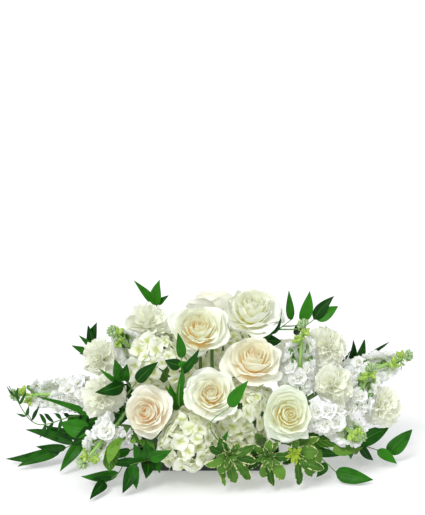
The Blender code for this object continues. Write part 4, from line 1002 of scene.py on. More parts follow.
def rose_petals(radius, seed, ruffle):
    """Grids of petals in a spiral: furled round the heart, then cupped, and rolled back at the outside."""
    numbers = [zone[0] for zone in ROSE_ZONES]
    count = sum(numbers)
    own = own_draws(np.random.default_rng(seed).normal, count)

    def along_zones(column):
        return np.concatenate([np.linspace(*zone[column], zone[0]) for zone in ROSE_ZONES])[:, None, None]

    def smoothed(column):
        middles = np.repeat([zone[column] for zone in ROSE_ZONES], numbers)
        return np.convolve(np.pad(middles, 3, mode="edge"), np.ones(7) / 7, mode="valid")[:, None, None]

    rank = np.arange(count) / (count - 1)
    t = rank[:, None, None]
    turn = (np.arange(count) * GOLDEN_ANGLE)[:, None, None] + own(0, 0.22)
    wave = own(0, 3)
    lean = own(0, 0.030)
    rim_reach = along_zones(1) * (1 + 2 * lean)
    rim_height = along_zones(2) + lean
    half = np.radians(along_zones(3)) * own(1, 0.07)
    curl = ROSE_ROLL * smoothed(6) * own(1, 0.25)
    v, u = sheet_axes(*ROSE_SHEET)
    fall = 0.12 + 0.20 * t
    up = v * (1 - fall * np.abs(u) ** 2.2 - 0.03 * np.sin(3.3 * u + wave))
    root_reach, root_height = 0.03 + 0.12 * t, 0.36 - 0.20 * t
    reach = (1 - up) ** 2 * root_reach + 2 * up * (1 - up) * (rim_reach + smoothed(4)) + up**2 * rim_reach
    height = (1 - up) ** 2 * root_height + 2 * up * (1 - up) * smoothed(5) + up**2 * rim_height
    rolled = np.clip((v - ROSE_ROLL_FROM) / (1 - ROSE_ROLL_FROM), 0, 1) ** 2
    sides = 0.45 + 0.9 * np.sin(math.pi * np.abs(u)) ** 2 + 0.3 * np.abs(u)
    reach = reach + curl * rolled * sides
    height = height - curl * rolled**1.5 * sides
    frill = ruffle * v**3 * (0.35 + 0.65 * t)
    slow = v**2 * (0.2 + t)
    height = height + 0.030 * np.sin(3.1 * u + wave) * slow + 0.022 * np.sin(8 * u + 2 * wave) * frill
    reach = reach * (1 + (0.10 + 0.03 * t) * u * v) + 0.026 * np.sin(4.6 * u + 2 * wave) * slow
    reach = reach + 0.020 * np.sin(9.5 * u + wave) * frill
    angle = turn + u * half * (0.40 + 0.60 * np.sin(np.minimum(v / 0.6, 1) * math.pi / 2))
    off_heart = (1 - t) * 0.055 * v
    x = reach * np.cos(angle) + off_heart * np.sin(wave)
    y = reach * np.sin(angle) + off_heart * np.cos(wave)
    return np.stack((x, y, height + 0 * x), axis=-1) * radius, rank


def rose(name, centre, radius, turn, rise, roll):
    """A bloom whose petals are pressed back by its neighbours, and its stem."""
    axis = facing(turn, rise)
    seat = point(centre) - axis * radius * ROSE_CENTRE_SHARE
    place = frame_at(seat, axis, roll)
    finish = petal_finish(name + " petals", *ROSE_TINTS[name], fade=ROSE_FADE, inner=ROSE_INNER)
    grids, rank = rose_petals(radius, len(name) + int(radius), ROSE_RUFFLES.get(name, 1.0))
    bloom = Growth()
    bloom.add_sheets(squeezed(place(grids), contacts_of(MASSES[name])), ROSE_PETAL_THICKNESS, finish, rank)
    bloom.piece(name + "_petals", "rose_petal", name + "_bloom")
    rose_stem(name, seat, axis, place)


def rose_stem(name, seat, axis, place):
    """The stem, the hip that the bloom sits on, and the sepals that hang below it."""
    _, path = stem_path(name + "_stem", [seat - axis * ROSE_STEM_END], axis, ROSE_STEM_RADIUS)
    stem = Growth()
    stem.add_profiled(path, ROSE_STEM_RADIUS, seat, axis, ROSE_HIP, STEM_GREEN)
    v, u = sheet_axes(8, 5)
    turns = (np.arange(SEPALS) * 2 * math.pi / SEPALS)[:, None, None]
    side = SEPAL_HALF_WIDTH * np.sin(math.pi * np.minimum(v * 0.85 + 0.15, 1)) * u
    grids = spread_petals(4 + 21 * v, side, turns, -4.5 - 5 * v**2)
    stem.add_sheets(place(grids), SEPAL_THICKNESS, STEM_GREEN)
    stem.piece(name + "_cut_stem", "stem", name + "_stem")


# Hydrangeas

FLORET_SHEET = (6, 5)
FLORET_THICKNESS = 0.03
FLORET_CAP = math.radians(150)
HYDRANGEA_BASE_HEIGHT = 0.42
HYDRANGEA_BASE_ANGLE = 168
FLORET_SIZE = 14
FLORET_SPREADS = (0.5, 0.55, 0.16)
# the number of florets in each layer is this times the square of the head's radius
FLORETS_EACH = 0.019
# layers: height as a share of the radius, and tone. The inner layer's lower tone is painted shade: its
# florets are greener and darker deeper in the head
FLORET_LAYERS = ((0.96, 0.75), (0.85, 0.45))
# the core's radius, and where it is cut off below the middle. The dark green core is partly the inner stalks
# and partly painted shade between the florets
HYDRANGEA_CORE = 0.70
HYDRANGEA_CORE_LOW = 0.40


def hydrangea_floret(seed):
    """Four round petals round a small bead, each cupped, waved and tilted its own way."""
    own = own_draws(np.random.default_rng(seed).uniform, 4)
    v, u = sheet_axes(*FLORET_SHEET)
    turns = np.arange(4)[:, None, None] * math.pi / 2 + own(-0.2, 0.2)
    size, rise, roll, cup, wave = (
        own(*limits) for limits in ((0.86, 1.14), (-0.12, 0.55), (-0.35, 0.35), (0.05, 0.34), (0, 6.28))
    )
    out = (0.03 + v * (1 - 0.20 * np.abs(u) ** 2.2) * 0.97) * size
    side = 0.64 * np.sin(math.pi * np.clip(v * 0.78 + 0.13, 0, 1)) ** 0.5 * u * size
    height = rise * v + cup * u**2 * v + roll * u * v + 0.07 * np.sin(3 * u + 4 * v + wave) * v
    height = height - 0.5 * np.maximum(v - 0.55, 0) ** 2
    floret = Growth()
    floret.add_sheets(spread_petals(out, side, turns, height), FLORET_THICKNESS)
    bead = [(0.0, 0.0, -0.02), (0.0, 0.0, 0.10)]
    bead += [(0.07 * math.cos(a), 0.07 * math.sin(a), 0.03) for a in np.arange(6) * math.pi / 3]
    sides = [(1, 2 + k, 2 + (k + 1) % 6) for k in range(6)] + [(0, 2 + (k + 1) % 6, 2 + k) for k in range(6)]
    floret.add(bead, sides, None)
    return floret.pattern(f"hydrangea_floret_{seed}")


def spread_over_cap(count, cap):
    """Directions spread evenly over a cap round +Z."""
    heights = 1 - (np.arange(count) + 0.5) / count * (1 - math.cos(cap))
    turns = np.arange(count) * GOLDEN_ANGLE
    rims = np.sqrt(1 - heights**2)
    return np.stack((rims * np.cos(turns), rims * np.sin(turns), heights), axis=1)


def tangents(directions):
    side = unit(np.cross(directions, (0.3, 1.0, 0.2)))
    return side, np.cross(directions, side)


def ball(radius, low, rows=10, columns=16):
    """A closed round core, flattened below at a height."""
    turns = np.arange(columns) * 2 * math.pi / columns
    points = []
    for angle in np.linspace(0.02, math.pi - 0.02, rows):
        across, height = radius * math.sin(angle), max(radius * math.cos(angle), low)
        points += [(across * math.cos(turn), across * math.sin(turn), height) for turn in turns]
    faces = [list(range(columns)), [(rows - 1) * columns + k for k in range(columns)][::-1]]
    for start in range(0, (rows - 1) * columns, columns):
        for k in range(columns):
            n = (k + 1) % columns
            faces.append([start + k, start + columns + k, start + columns + n, start + n])
    return np.array(points), faces


def hydrangea(name, centre, radius, turn, rise, roll, florets):
    """A head of small florets that face every way out of a ball, in layers over a dark core, and its stem."""
    axis = facing(turn, rise)
    centre = point(centre)
    place = frame_at(centre, axis, roll)
    planes = contacts_of(MASSES[name])
    random = np.random.default_rng(int(radius))
    head = Growth()
    # The core: partly the head's inner stalks and partly painted shade, dark between the florets
    core, core_faces = ball(HYDRANGEA_CORE * radius, -HYDRANGEA_CORE_LOW * radius)
    head.add(squeezed(place(core), planes), core_faces, CALYX_AND_SHADE_GREEN)
    number = int(FLORETS_EACH * radius**2)
    for layer, (height, tone) in enumerate(FLORET_LAYERS):
        directions = spread_over_cap(number, FLORET_CAP)
        directions = unit(directions + random.normal(0, 0.09, directions.shape))
        heights = radius * (height + random.uniform(-0.09, 0.03, number))[:, None]
        outer = place(directions) - centre
        side, other = tangents(outer)
        angle = random.uniform(0, 6.28, number)[:, None]
        along = side * np.cos(angle) + other * np.sin(angle)
        # painted shade: the inner layer's lower tone makes its florets greener and darker
        tones = tone + random.uniform(-0.25, 0.25, number)
        beds = (place(directions * heights), outer, along, np.full(number, FLORET_SIZE), tones)
        plant(head, florets, HYDRANGEA_PETALS, beds, FLORET_SPREADS, layer * 5, planes)
    head.piece(name + "_florets", "hydrangea_petal", name + "_bloom")
    seat = centre - axis * radius * HYDRANGEA_BASE_HEIGHT * math.cos(math.radians(180 - HYDRANGEA_BASE_ANGLE))
    _, path = stem_path(name + "_stem", [seat - axis * SEAT_GAP], axis, HYDRANGEA_STEM_RADIUS)
    stem = Growth()
    stem.add_tube(path, HYDRANGEA_STEM_RADIUS, STEM_GREEN)
    stem.piece(name + "_cut_stem", "stem", name + "_stem")


# Carnations

CARNATION_CENTRE_SHARE = 0.55
CARNATION_PETALS_EACH = 66
CARNATION_PETAL_THICKNESS = 0.5
CARNATION_SHEET = (7, 13)
CARNATION_STEM_END = 27
# in shares of the radius: height of the petals' feet, size of the dome on which their rims end, how far the
# feet lie below its middle, and depth of the rims' teeth
CARNATION_FOOT = 0.10
CARNATION_DOME = 0.97
CARNATION_SINK = 0.30
CARNATION_TEETH = 0.045


def carnation_petals(radius, seed):
    """Grids of fan-shaped petals with finely toothed, ruffled edges, which end on a dome."""
    number = CARNATION_PETALS_EACH
    own = own_draws(np.random.default_rng(seed).normal, number)
    rank = (np.arange(number) + 0.5) / number
    lean = np.radians(2 + 96 * rank**0.62)[:, None, None] + own(0, 0.09)
    turn = (np.arange(number) * GOLDEN_ANGLE)[:, None, None] + own(0, 0.25)
    wave = own(0, 3)
    v, u = sheet_axes(*CARNATION_SHEET)
    sunk = CARNATION_SINK * np.cos(lean)
    length = sunk + np.sqrt(sunk**2 + CARNATION_DOME**2 - CARNATION_SINK**2)
    teeth = CARNATION_TEETH * (np.arange(u.size) % 2) * v**5
    reach = length * v * (1 - 0.17 * u**2 - teeth + 0.04 * np.sin(5 * u + wave) * v) * own(0.94, 0.06)
    width = 0.54 * v**1.2 * u * own(1, 0.12)
    ruffle = 0.15 * v**2 * np.sin(4.4 * u + wave) + 0.035 * v**3 * np.sin(11 * u + 2 * wave)
    ruffle = ruffle + 0.14 * v**3 * (0.4 + rank[:, None, None])
    along, across, face = leaning_axes(lean, turn)
    spin = own(0, 0.6)[..., None] * (1.6 - rank)[:, None, None, None]
    across, face = across * np.cos(spin) + face * np.sin(spin), face * np.cos(spin) - across * np.sin(spin)
    grids = leaning_petals(along, across, face, reach, width, ruffle) + (0, 0, CARNATION_FOOT)
    return grids * radius, rank


def carnation(name, centre, radius, turn, rise, roll):
    """Bloom, calyx and stem, which grew as one."""
    axis = facing(turn, rise)
    seat = point(centre) - axis * radius * CARNATION_CENTRE_SHARE
    place = frame_at(seat, axis, roll)
    grids, rank = carnation_petals(radius, int(radius + centre[0]) % 97)
    flower = Growth()
    petals = squeezed(place(grids), contacts_of(MASSES[name]))
    flower.add_sheets(petals, CARNATION_PETAL_THICKNESS, CARNATION_PETALS, 0.35 + 0.65 * rank)
    _, path = stem_path(name, [seat - axis * CARNATION_STEM_END], axis, CARNATION_STEM_RADIUS)
    calyx = ((-24, 5.0), (-20, 6.5), (-8, 7.0), (0.1 * radius, 7.5), (0.2 * radius, 5.0))
    flower.add_profiled(path, CARNATION_STEM_RADIUS, seat, axis, calyx, STEM_GREEN)
    flower.piece(name + "_flower", "carnation", name)


# Stocks

# rings of a floret's petals: number, lean from its axis in degrees, length and half width
STOCK_RINGS = ((4, 88, 1.0, 0.66), (4, 66, 0.90, 0.60), (3, 40, 0.68, 0.50), (3, 14, 0.50, 0.36))
STOCK_PATTERNS = 3
STOCK_SPREADS = (3.1, 0.40, 0.14)
BUD_SPREADS = (3.1, 0.2, 0.2)
# the length of a spike that each floret adds
STOCK_STEP = 2.55
STOCK_STEM_END = 8
FLORET_AWAY = 0.86
OPEN_FROM = 0.5
OPEN_WAY = unit(point((0, -0.95, 0.3)))
BUDS = 4
BUD_SPREAD = 15
# height and radius at each row of a bud
BUD_PROFILE = ((-2.6, 0.16), (-1.1, 0.18), (-0.9, 0.45), (-0.4, 0.66), (0.2, 0.62), (0.7, 0.36), (1.0, 0.06))
BUD_SIDES = 7
STALK_REACH = 1.25
BUDS_ON_STALK = 4
CALYCES = 9
BUDS_AT_TIP = 18


def stock_floret(seed):
    """A double floret of radius one: broad ruffled petals that spread, and smaller ones that stand."""
    random = np.random.default_rng(seed)
    floret = Growth()
    v, u = sheet_axes(*FLORET_SHEET)
    for ring, (number, lean, length, wide) in enumerate(STOCK_RINGS):
        own = own_draws(random.normal, number)
        lean = np.radians(own(lean, 9))
        turn = (np.arange(number) * 2 * math.pi / number + ring * 0.9)[:, None, None] + own(0, 0.22)
        size = length * own(1, 0.10)
        wave = own(0, 3)
        reach = size * v * (1 - 0.20 * u**2 + 0.05 * np.cos(5 * u + wave))
        side = wide * u * np.sin(math.pi * np.clip(v * 0.60 + 0.10, 0, 1)) ** 0.7 * size
        ruffle = 0.17 * v**2 * np.sin(4.0 * u + wave) + own(0, 0.10) * u * v - 0.20 * v**2
        grids = leaning_petals(*leaning_axes(lean, turn), reach, side, ruffle)
        floret.add_sheets(grids - (0, 0, 0.12), FLORET_THICKNESS)
    return floret.pattern(f"stock_floret_{seed}")


def stock_bud():
    """A pointed bud with a short stalk, one unit long from its middle to its tip."""
    bud = Growth()
    bud.add_profiled([], 0, point((0, 0, 0)), point((0, 0, 1)), BUD_PROFILE, None, BUD_SIDES)
    return bud.pattern("stock_bud")


def floret_ways(place, base, share, turn):
    """The directions that florets face. High on the spike, those at the front are turned to the back."""
    local = np.stack((np.cos(turn), np.sin(turn), 0.15 + 0.5 * share), axis=-1)
    outer = unit(place(local) - base)
    turned = unit(place(local * (-1, -1, 1)) - base)
    hides = (share >= OPEN_FROM) & (outer @ OPEN_WAY >= 0.3)
    return np.where((hides & (turned @ OPEN_WAY < outer @ OPEN_WAY))[:, None], turned, outer)


def stock_buds(flower, place, axis, length, zone, bud):
    """The buds: bunches on stalks round the stem, and the largest bunch at its tip."""
    random = np.random.default_rng(int(length) + 5)
    for k in range(BUDS):
        angle = k * GOLDEN_ANGLE
        share = k / (BUDS - 1)
        lean = STALK_REACH * (BUD_SPREAD * (1 - share) + 1)
        height = length * (zone + (0.98 - zone) * (0.15 + 0.85 * share))
        root, middle = place([
            (0, 0, height - 0.9 * lean), (lean * math.cos(angle), lean * math.sin(angle), height)
        ])
        way = unit(middle - root + 0.5 * axis)
        number, spread, finish, sizes = BUDS_ON_STALK, 6.0, BUD_GREEN, (5.4, 7.2)
        if k == BUDS - 1:
            number, spread, finish, sizes = BUDS_AT_TIP, 7.5, TIP_GREEN, (3.4, 5.6)
        else:
            bend = (root + middle) / 2 - 0.12 * np.linalg.norm(middle - root) * axis
            stalk = curve_through([root, bend, middle], 8)
            flower.add_tube(stalk, np.linspace(1.5, 1.1, 8), STOCK_STEM_GREEN, BUD_SIDES)
        outer = unit(frame_at(point((0, 0, 0)), way)(spread_over_cap(number, math.radians(105))))
        beds = (
            middle - way * 3 + outer * spread, unit(outer + 0.5 * way), tangents(outer)[0],
            np.linspace(*sizes, number), random.random(number),
        )
        plant(flower, [bud], finish, beds, BUD_SPREADS, k)


def calyces(flower, axis, length, places, outer, bud):
    """Green calyces and unopened buds that show between the florets."""
    random = np.random.default_rng(int(length) + 11)
    chosen = random.permutation(len(places))[:CALYCES]
    number = len(chosen)
    turned = unit(outer[chosen] + axis * 0.8 + random.normal(0, 0.25, (number, 3)))
    spots = places[chosen] + axis * random.uniform(9, 15, number)[:, None] - outer[chosen] * 4
    beds = (spots, turned, tangents(turned)[0], random.uniform(4.5, 7, number), random.random(number))
    plant(flower, [bud], CALYX_AND_SHADE_GREEN, beds, BUD_SPREADS, 2)


def stock(name, base, tip, radius, zone, florets, bud):
    """A spike of double florets round a green stem that shows at the front, with buds above them."""
    base, tip = point(base), point(tip)
    axis = unit(tip - base)
    length = np.linalg.norm(tip - base)
    place = frame_at(base, axis)
    random = np.random.default_rng(int(length))
    number = int(length * zone / STOCK_STEP)
    share = (np.arange(number) + 0.3) / number * 1.08 - 0.08
    outer = floret_ways(place, base, share, np.arange(number) * GOLDEN_ANGLE)
    # towards the tip the florets are smaller and nearer to the stem
    away = radius * (1.05 - 0.35 * share) * FLORET_AWAY * random.uniform(0.8, 1.05, number)
    places = base + axis * (length * zone * share)[:, None] + outer * away[:, None]
    sizes = radius * (0.52 - 0.12 * share**2)
    beds = (places, outer, tangents(outer)[0], sizes, 0.5 + 0.5 * random.random(number))
    flower = Growth()
    plant(flower, florets, STOCK_PETALS, beds, STOCK_SPREADS, 3, contacts_of(MASSES[name]))
    calyces(flower, axis, length, places, outer, bud)
    stock_buds(flower, place, axis, length, zone, bud)
    _, path = stem_path(name, [base - axis * STOCK_STEM_END], axis, STOCK_STEM_RADIUS)
    flower.add_profiled(path, STOCK_STEM_RADIUS, base, axis, ((4, STOCK_STEM_RADIUS),), STEM_GREEN)
    spine = ((0, 3.4), (length * zone * 0.7, 3.4), (length * zone, 3.0), (length - 6, 1.8))
    flower.add_profiled([], 0, base, axis, spine, STOCK_STEM_GREEN)
    flower.piece(name + "_spike", "stock", name)


# Leaves

# a plain leaf's rows, each a share of its length and of its half width; leaves narrower than this have one
NARROW_WIDTH = 14.5
NARROW_ROWS = ((0.40, 1.0),)


class LeafKind(NamedTuple):
    """How a kind of leaf grows, and how late, how full and how creased its fine outline is."""
    spread: float
    droop: float
    fold: float
    late: float
    full: float
    crease: float
    rows: tuple = NARROW_ROWS


LEAVES = {
    "ruscus": LeafKind(46, 0.16, 0.18, 0.64, 0.88, 0.55, ((0.30, 0.92), (0.64, 0.78))),
    "pittosporum": LeafKind(50, 0.22, 0.12, 1.45, 0.50, 0.35, ((0.40, 0.60), (0.76, 0.95))),
    "salal": LeafKind(48, 0.14, 0.10, 0.85, 0.62, 0.3, ((0.32, 1.0), (0.68, 0.84))),
    "fern": LeafKind(62, 0.10, 0.10, 0.7, 1.0, 0.2),
    "young": LeafKind(0, 0.1, 0, 1.1, 0.75, 0.4),
}
LEAF_TWISTS = (0, 14, -14, 28, -28, 44, -44)
LEAF_TILTS = (0, 14, 28, -14, 44)
LEAF_BEND = 0.22
LEAF_THICKNESS = 0.8
LEAF_ROWS = 13
LEAF_COLUMNS = 7
# where on a shoot a spray's leaves are largest, and how much they shrink away from there
LARGEST_AT = 0.75
LEAF_SHRINK = 0.44
# how much further on each leaf of a stem is in its wave
LEAF_WAVE = 1.7
KNOB_SIZE = 4
# how far before a shoot's tip its last leaf grows
TIP_GAP = 4
FRONT = point((0, -1.2, 0.3))
VIEW_ROLL = 0.9
RUSCUS_BREADTH = 1.2
FERN_STEP = 0.09
YOUNG_LEAVES = 13
YOUNG_LENGTH = 36
YOUNG_BREADTH = 0.36
YOUNG_LEAN = 76
YOUNG_THICKNESS = 0.6
BRIGHT_TIPS = ("pittosporum_right",)


def plain_leaf(kind, root, along, face, length, width):
    """The points of a leaf's outline in the part's source, without its root."""
    grown = LEAVES[kind]
    side = np.cross(along, face)
    rows = []
    for share, broad in NARROW_ROWS if width < NARROW_WIDTH else grown.rows:
        middle = root + along * length * share - face * grown.droop * length * share**2
        half = width / 2 * broad
        row = [middle + side * c * half + face * grown.fold * half for c in (-1, 1)]
        rows.append(lifted(row, np.full(2, min(1.0, share * 3))))
    rows.append(lifted([root + along * length - face * grown.droop * length], np.ones(1)))
    return np.vstack(rows)


def fine_leaf(kind, root, along, face, length, width, wave, graft):
    """The grid of a leaf's middle surface: a smooth outline, folded at its rib, with a slow wave.

    graft moves its root onto the fine stem.
    """
    grown = LEAVES[kind]
    side = np.cross(along, face)
    v = np.linspace(0, 1, LEAF_ROWS)[:, None, None]
    u = np.linspace(-1, 1, LEAF_COLUMNS)[None, :, None]
    half = np.maximum(width / 2 * np.sin(math.pi * v**grown.late) ** grown.full, width * 0.02)
    fold = half * grown.crease * (np.abs(u) - 0.5 * u**2)
    ripple = width * 0.05 * np.sin(7 * v + wave) * u * v
    bend = LEAF_BEND * length * math.sin(wave) * (v**2 - v)
    grid = root + along * length * v - face * grown.droop * length * v**2 + side * bend
    grid = grid + side * u * half + face * (fold + ripple) + graft * (1 - v) ** 2
    return lifted(grid, np.minimum(1.0, 3 * v[..., 0]) * np.ones((1, LEAF_COLUMNS)))


def leaf_direction(along, face, twist, tilt):
    """A leaf's direction and facing, twisted about its facing and tilted towards it, in degrees."""
    twist, tilt = math.radians(twist), math.radians(tilt)
    turned = along * math.cos(twist) + np.cross(face, along) * math.sin(twist)
    return turned * math.cos(tilt) + face * math.sin(tilt), face * math.cos(tilt) - turned * math.sin(tilt)


def along_path(path, share):
    """The point at a share of a path, and the path's direction there."""
    shares = np.linspace(0, 1, len(path))
    here, ahead, behind = (
        np.array([np.interp(share + step, shares, path[:, axis]) for axis in range(3)])
        for step in (0, 0.05, -0.05)
    )
    return here, unit(ahead - behind)


def share_before_end(path, distance):
    """The share of a path at a distance before its end."""
    return 1 - distance / np.linalg.norm(np.diff(path, axis=0), axis=1).sum()


def sprayed_leaves(kind, path, spray):
    """The leaves of a spray: root, direction, facing, length and width. The last one ends the shoot."""
    top = share_before_end(path, TIP_GAP)
    for k in range(spray.leaves):
        share = spray.begin + (top - spray.begin) * k / (spray.leaves - 1)
        if kind == "fern":
            share = spray.begin + (top - spray.begin) * (k // 2) / (spray.leaves / 2)
        root, way = along_path(path, share)
        face = unit(outward(root) - way * (outward(root) @ way))
        across = np.cross(way, face) * (1 if k % 2 == 0 else -1)
        spread = math.radians(0 if k == spray.leaves - 1 else LEAVES[kind].spread)
        along = way * math.cos(spread) + across * math.sin(spread)
        size = 1.0 - LEAF_SHRINK * abs(share - LARGEST_AT)
        yield root, along, face, spray.length * size, spray.width * size


def aimed_leaves(kind, path, leaves):
    """The leaves with given tips: root, direction, facing, length and width. They turn to the front."""
    top = share_before_end(path, 0 if kind == "pittosporum" else TIP_GAP)
    for share, tip, width in leaves:
        root, way = along_path(path, min(share, top))
        reach = point(tip) - root
        length = np.linalg.norm(reach)
        seen = outward(root) + FRONT
        face = unit(seen - reach * (seen @ reach) / length**2)
        if kind == "pittosporum" and share == 1:
            root = root + (reach - way * (reach @ way)) / length * KNOB_SIZE / 2
        yield root, unit(reach + face * LEAVES[kind].droop * length), face, length, width


def laid_leaf(solid, kind, root, along, face, length, width):
    """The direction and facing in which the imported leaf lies, or None if it has none here."""
    for tilt in LEAF_TILTS:
        for twist in LEAF_TWISTS:
            turned, turned_face = leaf_direction(along, face, twist, tilt)
            outline = plain_leaf(kind, root, turned, turned_face, length, width)
            if solid.share_near(outline, LEAF_NEAR) > LEAF_FOUND:
                return turned, turned_face
    return None


def shoot_path(solid, root, ways, tip):
    """The plain and the fine path of a side shoot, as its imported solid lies."""
    first, *others = [point(w) for w in ways] or [(root + point(tip)) / 2]
    best, taken = -1, None
    for bulge in BULGES:
        places = [root, first + bulge, *others, tip]
        plain = curve_through(places, SHOOT_POINTS)
        near = solid.share_near(plain[1:], SHOOT_NEAR)
        if near > best:
            best, taken = near, (plain, curve_through(places, FINE_STEM_POINTS))
        if near == 1:
            break
    return taken


def rolled_to_view(along, face):
    """A leaf's facing, rolled about its rib towards the front or the back, whichever it already faces."""
    nearer = FRONT if face @ FRONT > 0 else -FRONT
    return unit(face + VIEW_ROLL * (nearer - along * (nearer @ along)))


def young_leaves(path, scale, seed):
    """Grids of the small new leaves at a shoot's tip, which stand up in a whorl."""
    random = np.random.default_rng(seed)
    tip, way = along_path(path, 1.0)
    way = unit(way + FRONT * 0.4)
    side, other = tangents(way)
    grids = []
    for k in range(YOUNG_LEAVES):
        turn = k * GOLDEN_ANGLE
        shrink = 1 - 0.6 * k / YOUNG_LEAVES
        out = side * math.cos(turn) + other * math.sin(turn)
        lean = math.radians(YOUNG_LEAN * shrink * random.uniform(0.8, 1.15))
        along = way * math.cos(lean) + out * math.sin(lean)
        face = way * math.sin(lean) - out * math.cos(lean)
        length = scale * YOUNG_LENGTH * shrink * random.uniform(0.7, 1.1)
        grids.append(fine_leaf("young", tip, along, face, length, length * YOUNG_BREADTH, k, 0))
    return grids


def leafy_stem(kind, name, shoots):
    """A stem with its side shoots and leaves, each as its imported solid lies."""
    solid = Solid(name)
    sprig = Growth()
    grids = []
    for start, ways, tip, leaves in shoots:
        if start is None:
            stem, path = stem_path(name, [*ways, tip], None, SPRIG_STEM_RADIUS * 1.2, SPRIG_POINTS)
            plain = stem
        else:
            plain, path = shoot_path(solid, along_path(stem, start)[0], ways, tip)
        path = curve_through(path, FINE_STEM_POINTS * 3)
        radii = np.linspace(SPRIG_STEM_RADIUS, SPRIG_STEM_RADIUS * 0.5, len(path))
        sprig.add_tube(path, radii, STEM_GREEN, SPRIG_SIDES)
        places = sprayed_leaves if isinstance(leaves, Spray) else aimed_leaves
        for root, along, face, length, width in places(kind, plain, leaves):
            laid = laid_leaf(solid, kind, root, along, face, length, width)
            if laid is None:
                continue
            along, face = laid
            nearest = np.argmin(np.linalg.norm(path - root, axis=1))
            if kind == "ruscus":
                face = rolled_to_view(along, face)
                width *= RUSCUS_BREADTH
            wave = LEAF_WAVE * len(grids)
            grids.append(fine_leaf(kind, root, along, face, length, width, wave, path[nearest] - root))
            if kind == "fern":
                between, _ = along_path(path, nearest / (len(path) - 1) + FERN_STEP / 2)
                wave = LEAF_WAVE * len(grids)
                grids.append(fine_leaf(kind, between, along, face, length * 0.9, width, wave, 0))
    random = np.random.default_rng(len(name))
    sprig.add_sheets(np.array(grids), LEAF_THICKNESS, LEAF_FINISHES[kind], random.random(len(grids)))
    if kind == "pittosporum":
        finish, scale = (NEW_LEAVES, 0.65) if name in BRIGHT_TIPS else (LEAF_FINISHES[kind], 1.0)
        sprig.add_sheets(np.array(young_leaves(stem, scale, len(name))), YOUNG_THICKNESS, finish)
    sprig.piece(name + "_sprig", kind, name)


# Dish, foam and tape

# what each ring of the dish's outline adds to its length and width, and the ring's height: up outside, over
# the rolled lip and down inside
DISH_RINGS = (
    (-2 * DISH_TAPER - 3, 0), (-2 * DISH_TAPER, 1.2), (0, DISH_HEIGHT - 6), (DISH_LIP - 1, DISH_HEIGHT - 4.5),
    (DISH_LIP, DISH_HEIGHT - 3), (DISH_LIP, DISH_HEIGHT - 1.2), (DISH_LIP - 1.5, DISH_HEIGHT),
    (-2 * DISH_WALL + 1.5, DISH_HEIGHT), (-2 * DISH_WALL, DISH_HEIGHT - 1.2),
    (-2 * DISH_TAPER - 2 * DISH_WALL, DISH_FLOOR),
)
CORNER_STEPS = 9


def rounded_outline(length, width, corner, height):
    """A ring of points round a rectangle with round corners."""
    ring = []
    for quarter, (sx, sy) in enumerate(((1, -1), (1, 1), (-1, 1), (-1, -1))):
        for k in range(CORNER_STEPS):
            turn = (quarter - 1 + k / (CORNER_STEPS - 1)) * math.pi / 2
            x = sx * (length / 2 - corner) + corner * math.cos(turn)
            y = sy * (width / 2 - corner) + corner * math.sin(turn)
            ring.append((x, y, height))
    return ring


def dish():
    """The dish with a rolled lip and softened base edge."""
    points = []
    for grow, height in DISH_RINGS:
        points += rounded_outline(DISH_LENGTH + grow, DISH_WIDTH + grow, DISH_CORNER, height)
    made = Growth()
    made.add(points, ring_faces(len(DISH_RINGS), 4 * CORNER_STEPS), DISH_PLASTIC_AND_SHADE)
    made.piece("moulded_dish", "dish", "dish")


def foam_and_tape():
    """The wet foam's pores and the tape's sheen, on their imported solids."""
    for node, finish in NODE_FINISHES.items():
        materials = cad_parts[node].data.materials
        materials.clear()
        materials.append(finish)


# Floor, light and camera

FLOOR_REACH = 60
FLOOR_COLOUR = (0.72, 0.72, 0.73)
FLOOR_GLOW = 0.31
SKY = (0.95, 0.98, 0.98, 1.0)
SKY_STRENGTH = 0.48
CAMERA_PLACE = (0.008, -2.16129, 0.93665)
CAMERA_PITCH = 14.565
CAMERA_LENS = 90
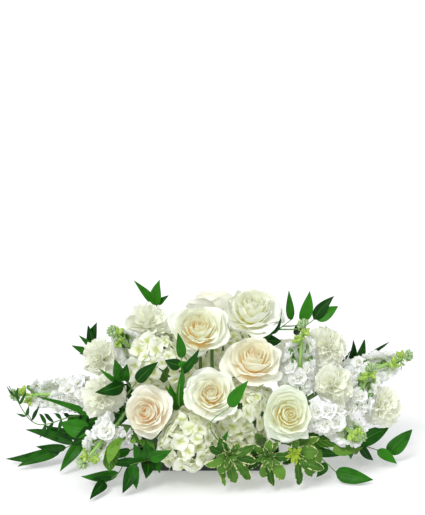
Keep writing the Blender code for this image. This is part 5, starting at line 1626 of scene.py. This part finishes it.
# Soft suns: name, the direction that their light comes from, strength, and how wide they are in degrees
SUNS = (
    ("key", (-0.55, -1.0, 1.15), 1.62, 20),
    ("overhead", (0.15, -0.45, 1.3), 0.95, 45),
)


def studio():
    """A pale floor that reaches past the view, soft daylight and the camera."""
    mesh = bpy.data.meshes.new("floor")
    corners = [(x * FLOOR_REACH, y * FLOOR_REACH, 0) for x, y in ((-1, -1), (1, -1), (1, 1), (-1, 1))]
    mesh.from_pydata(corners, [], [(0, 1, 2, 3)])
    mesh.materials.append(Finish("pale floor").made(
        Base_Color=FLOOR_COLOUR, Roughness=0.9, Specular_IOR_Level=0.1,
        Emission_Color=(1, 1, 1), Emission_Strength=FLOOR_GLOW,
    ))
    shown("floor", mesh)
    world = bpy.data.worlds.new("white studio")
    world.use_nodes = True
    sky = world.node_tree.nodes["Background"]
    sky.inputs["Color"].default_value = SKY
    sky.inputs["Strength"].default_value = SKY_STRENGTH
    bpy.context.scene.world = world
    for name, direction, strength, width in SUNS:
        light = bpy.data.lights.new(name, "SUN")
        light.energy = strength
        light.angle = math.radians(width)
        shown(name, light).rotation_euler = Vector(direction).to_track_quat("Z", "Y").to_euler()
    camera = bpy.data.cameras.new("camera")
    camera.lens = CAMERA_LENS
    stand = shown("camera", camera)
    stand.location = CAMERA_PLACE
    stand.rotation_euler = (math.radians(90 - CAMERA_PITCH), 0, 0)
    bpy.context.scene.camera = stand
    bpy.context.scene.view_settings.view_transform = "Standard"


def build():
    for k, spec in enumerate(ROSES):
        rose(*spec, k * GOLDEN_ANGLE)
    florets = [hydrangea_floret(seed) for seed in range(3)]
    for k, spec in enumerate(HYDRANGEAS):
        hydrangea(*spec, k * GOLDEN_ANGLE, florets)
    for k, spec in enumerate(CARNATIONS):
        carnation(*spec, k * GOLDEN_ANGLE)
    florets = [stock_floret(seed) for seed in range(STOCK_PATTERNS)]
    bud = stock_bud()
    for spec in STOCKS:
        stock(*spec, florets, bud)
    for spec in SPRIGS:
        leafy_stem(*spec)
    dish()
    foam_and_tape()
    studio()


build()
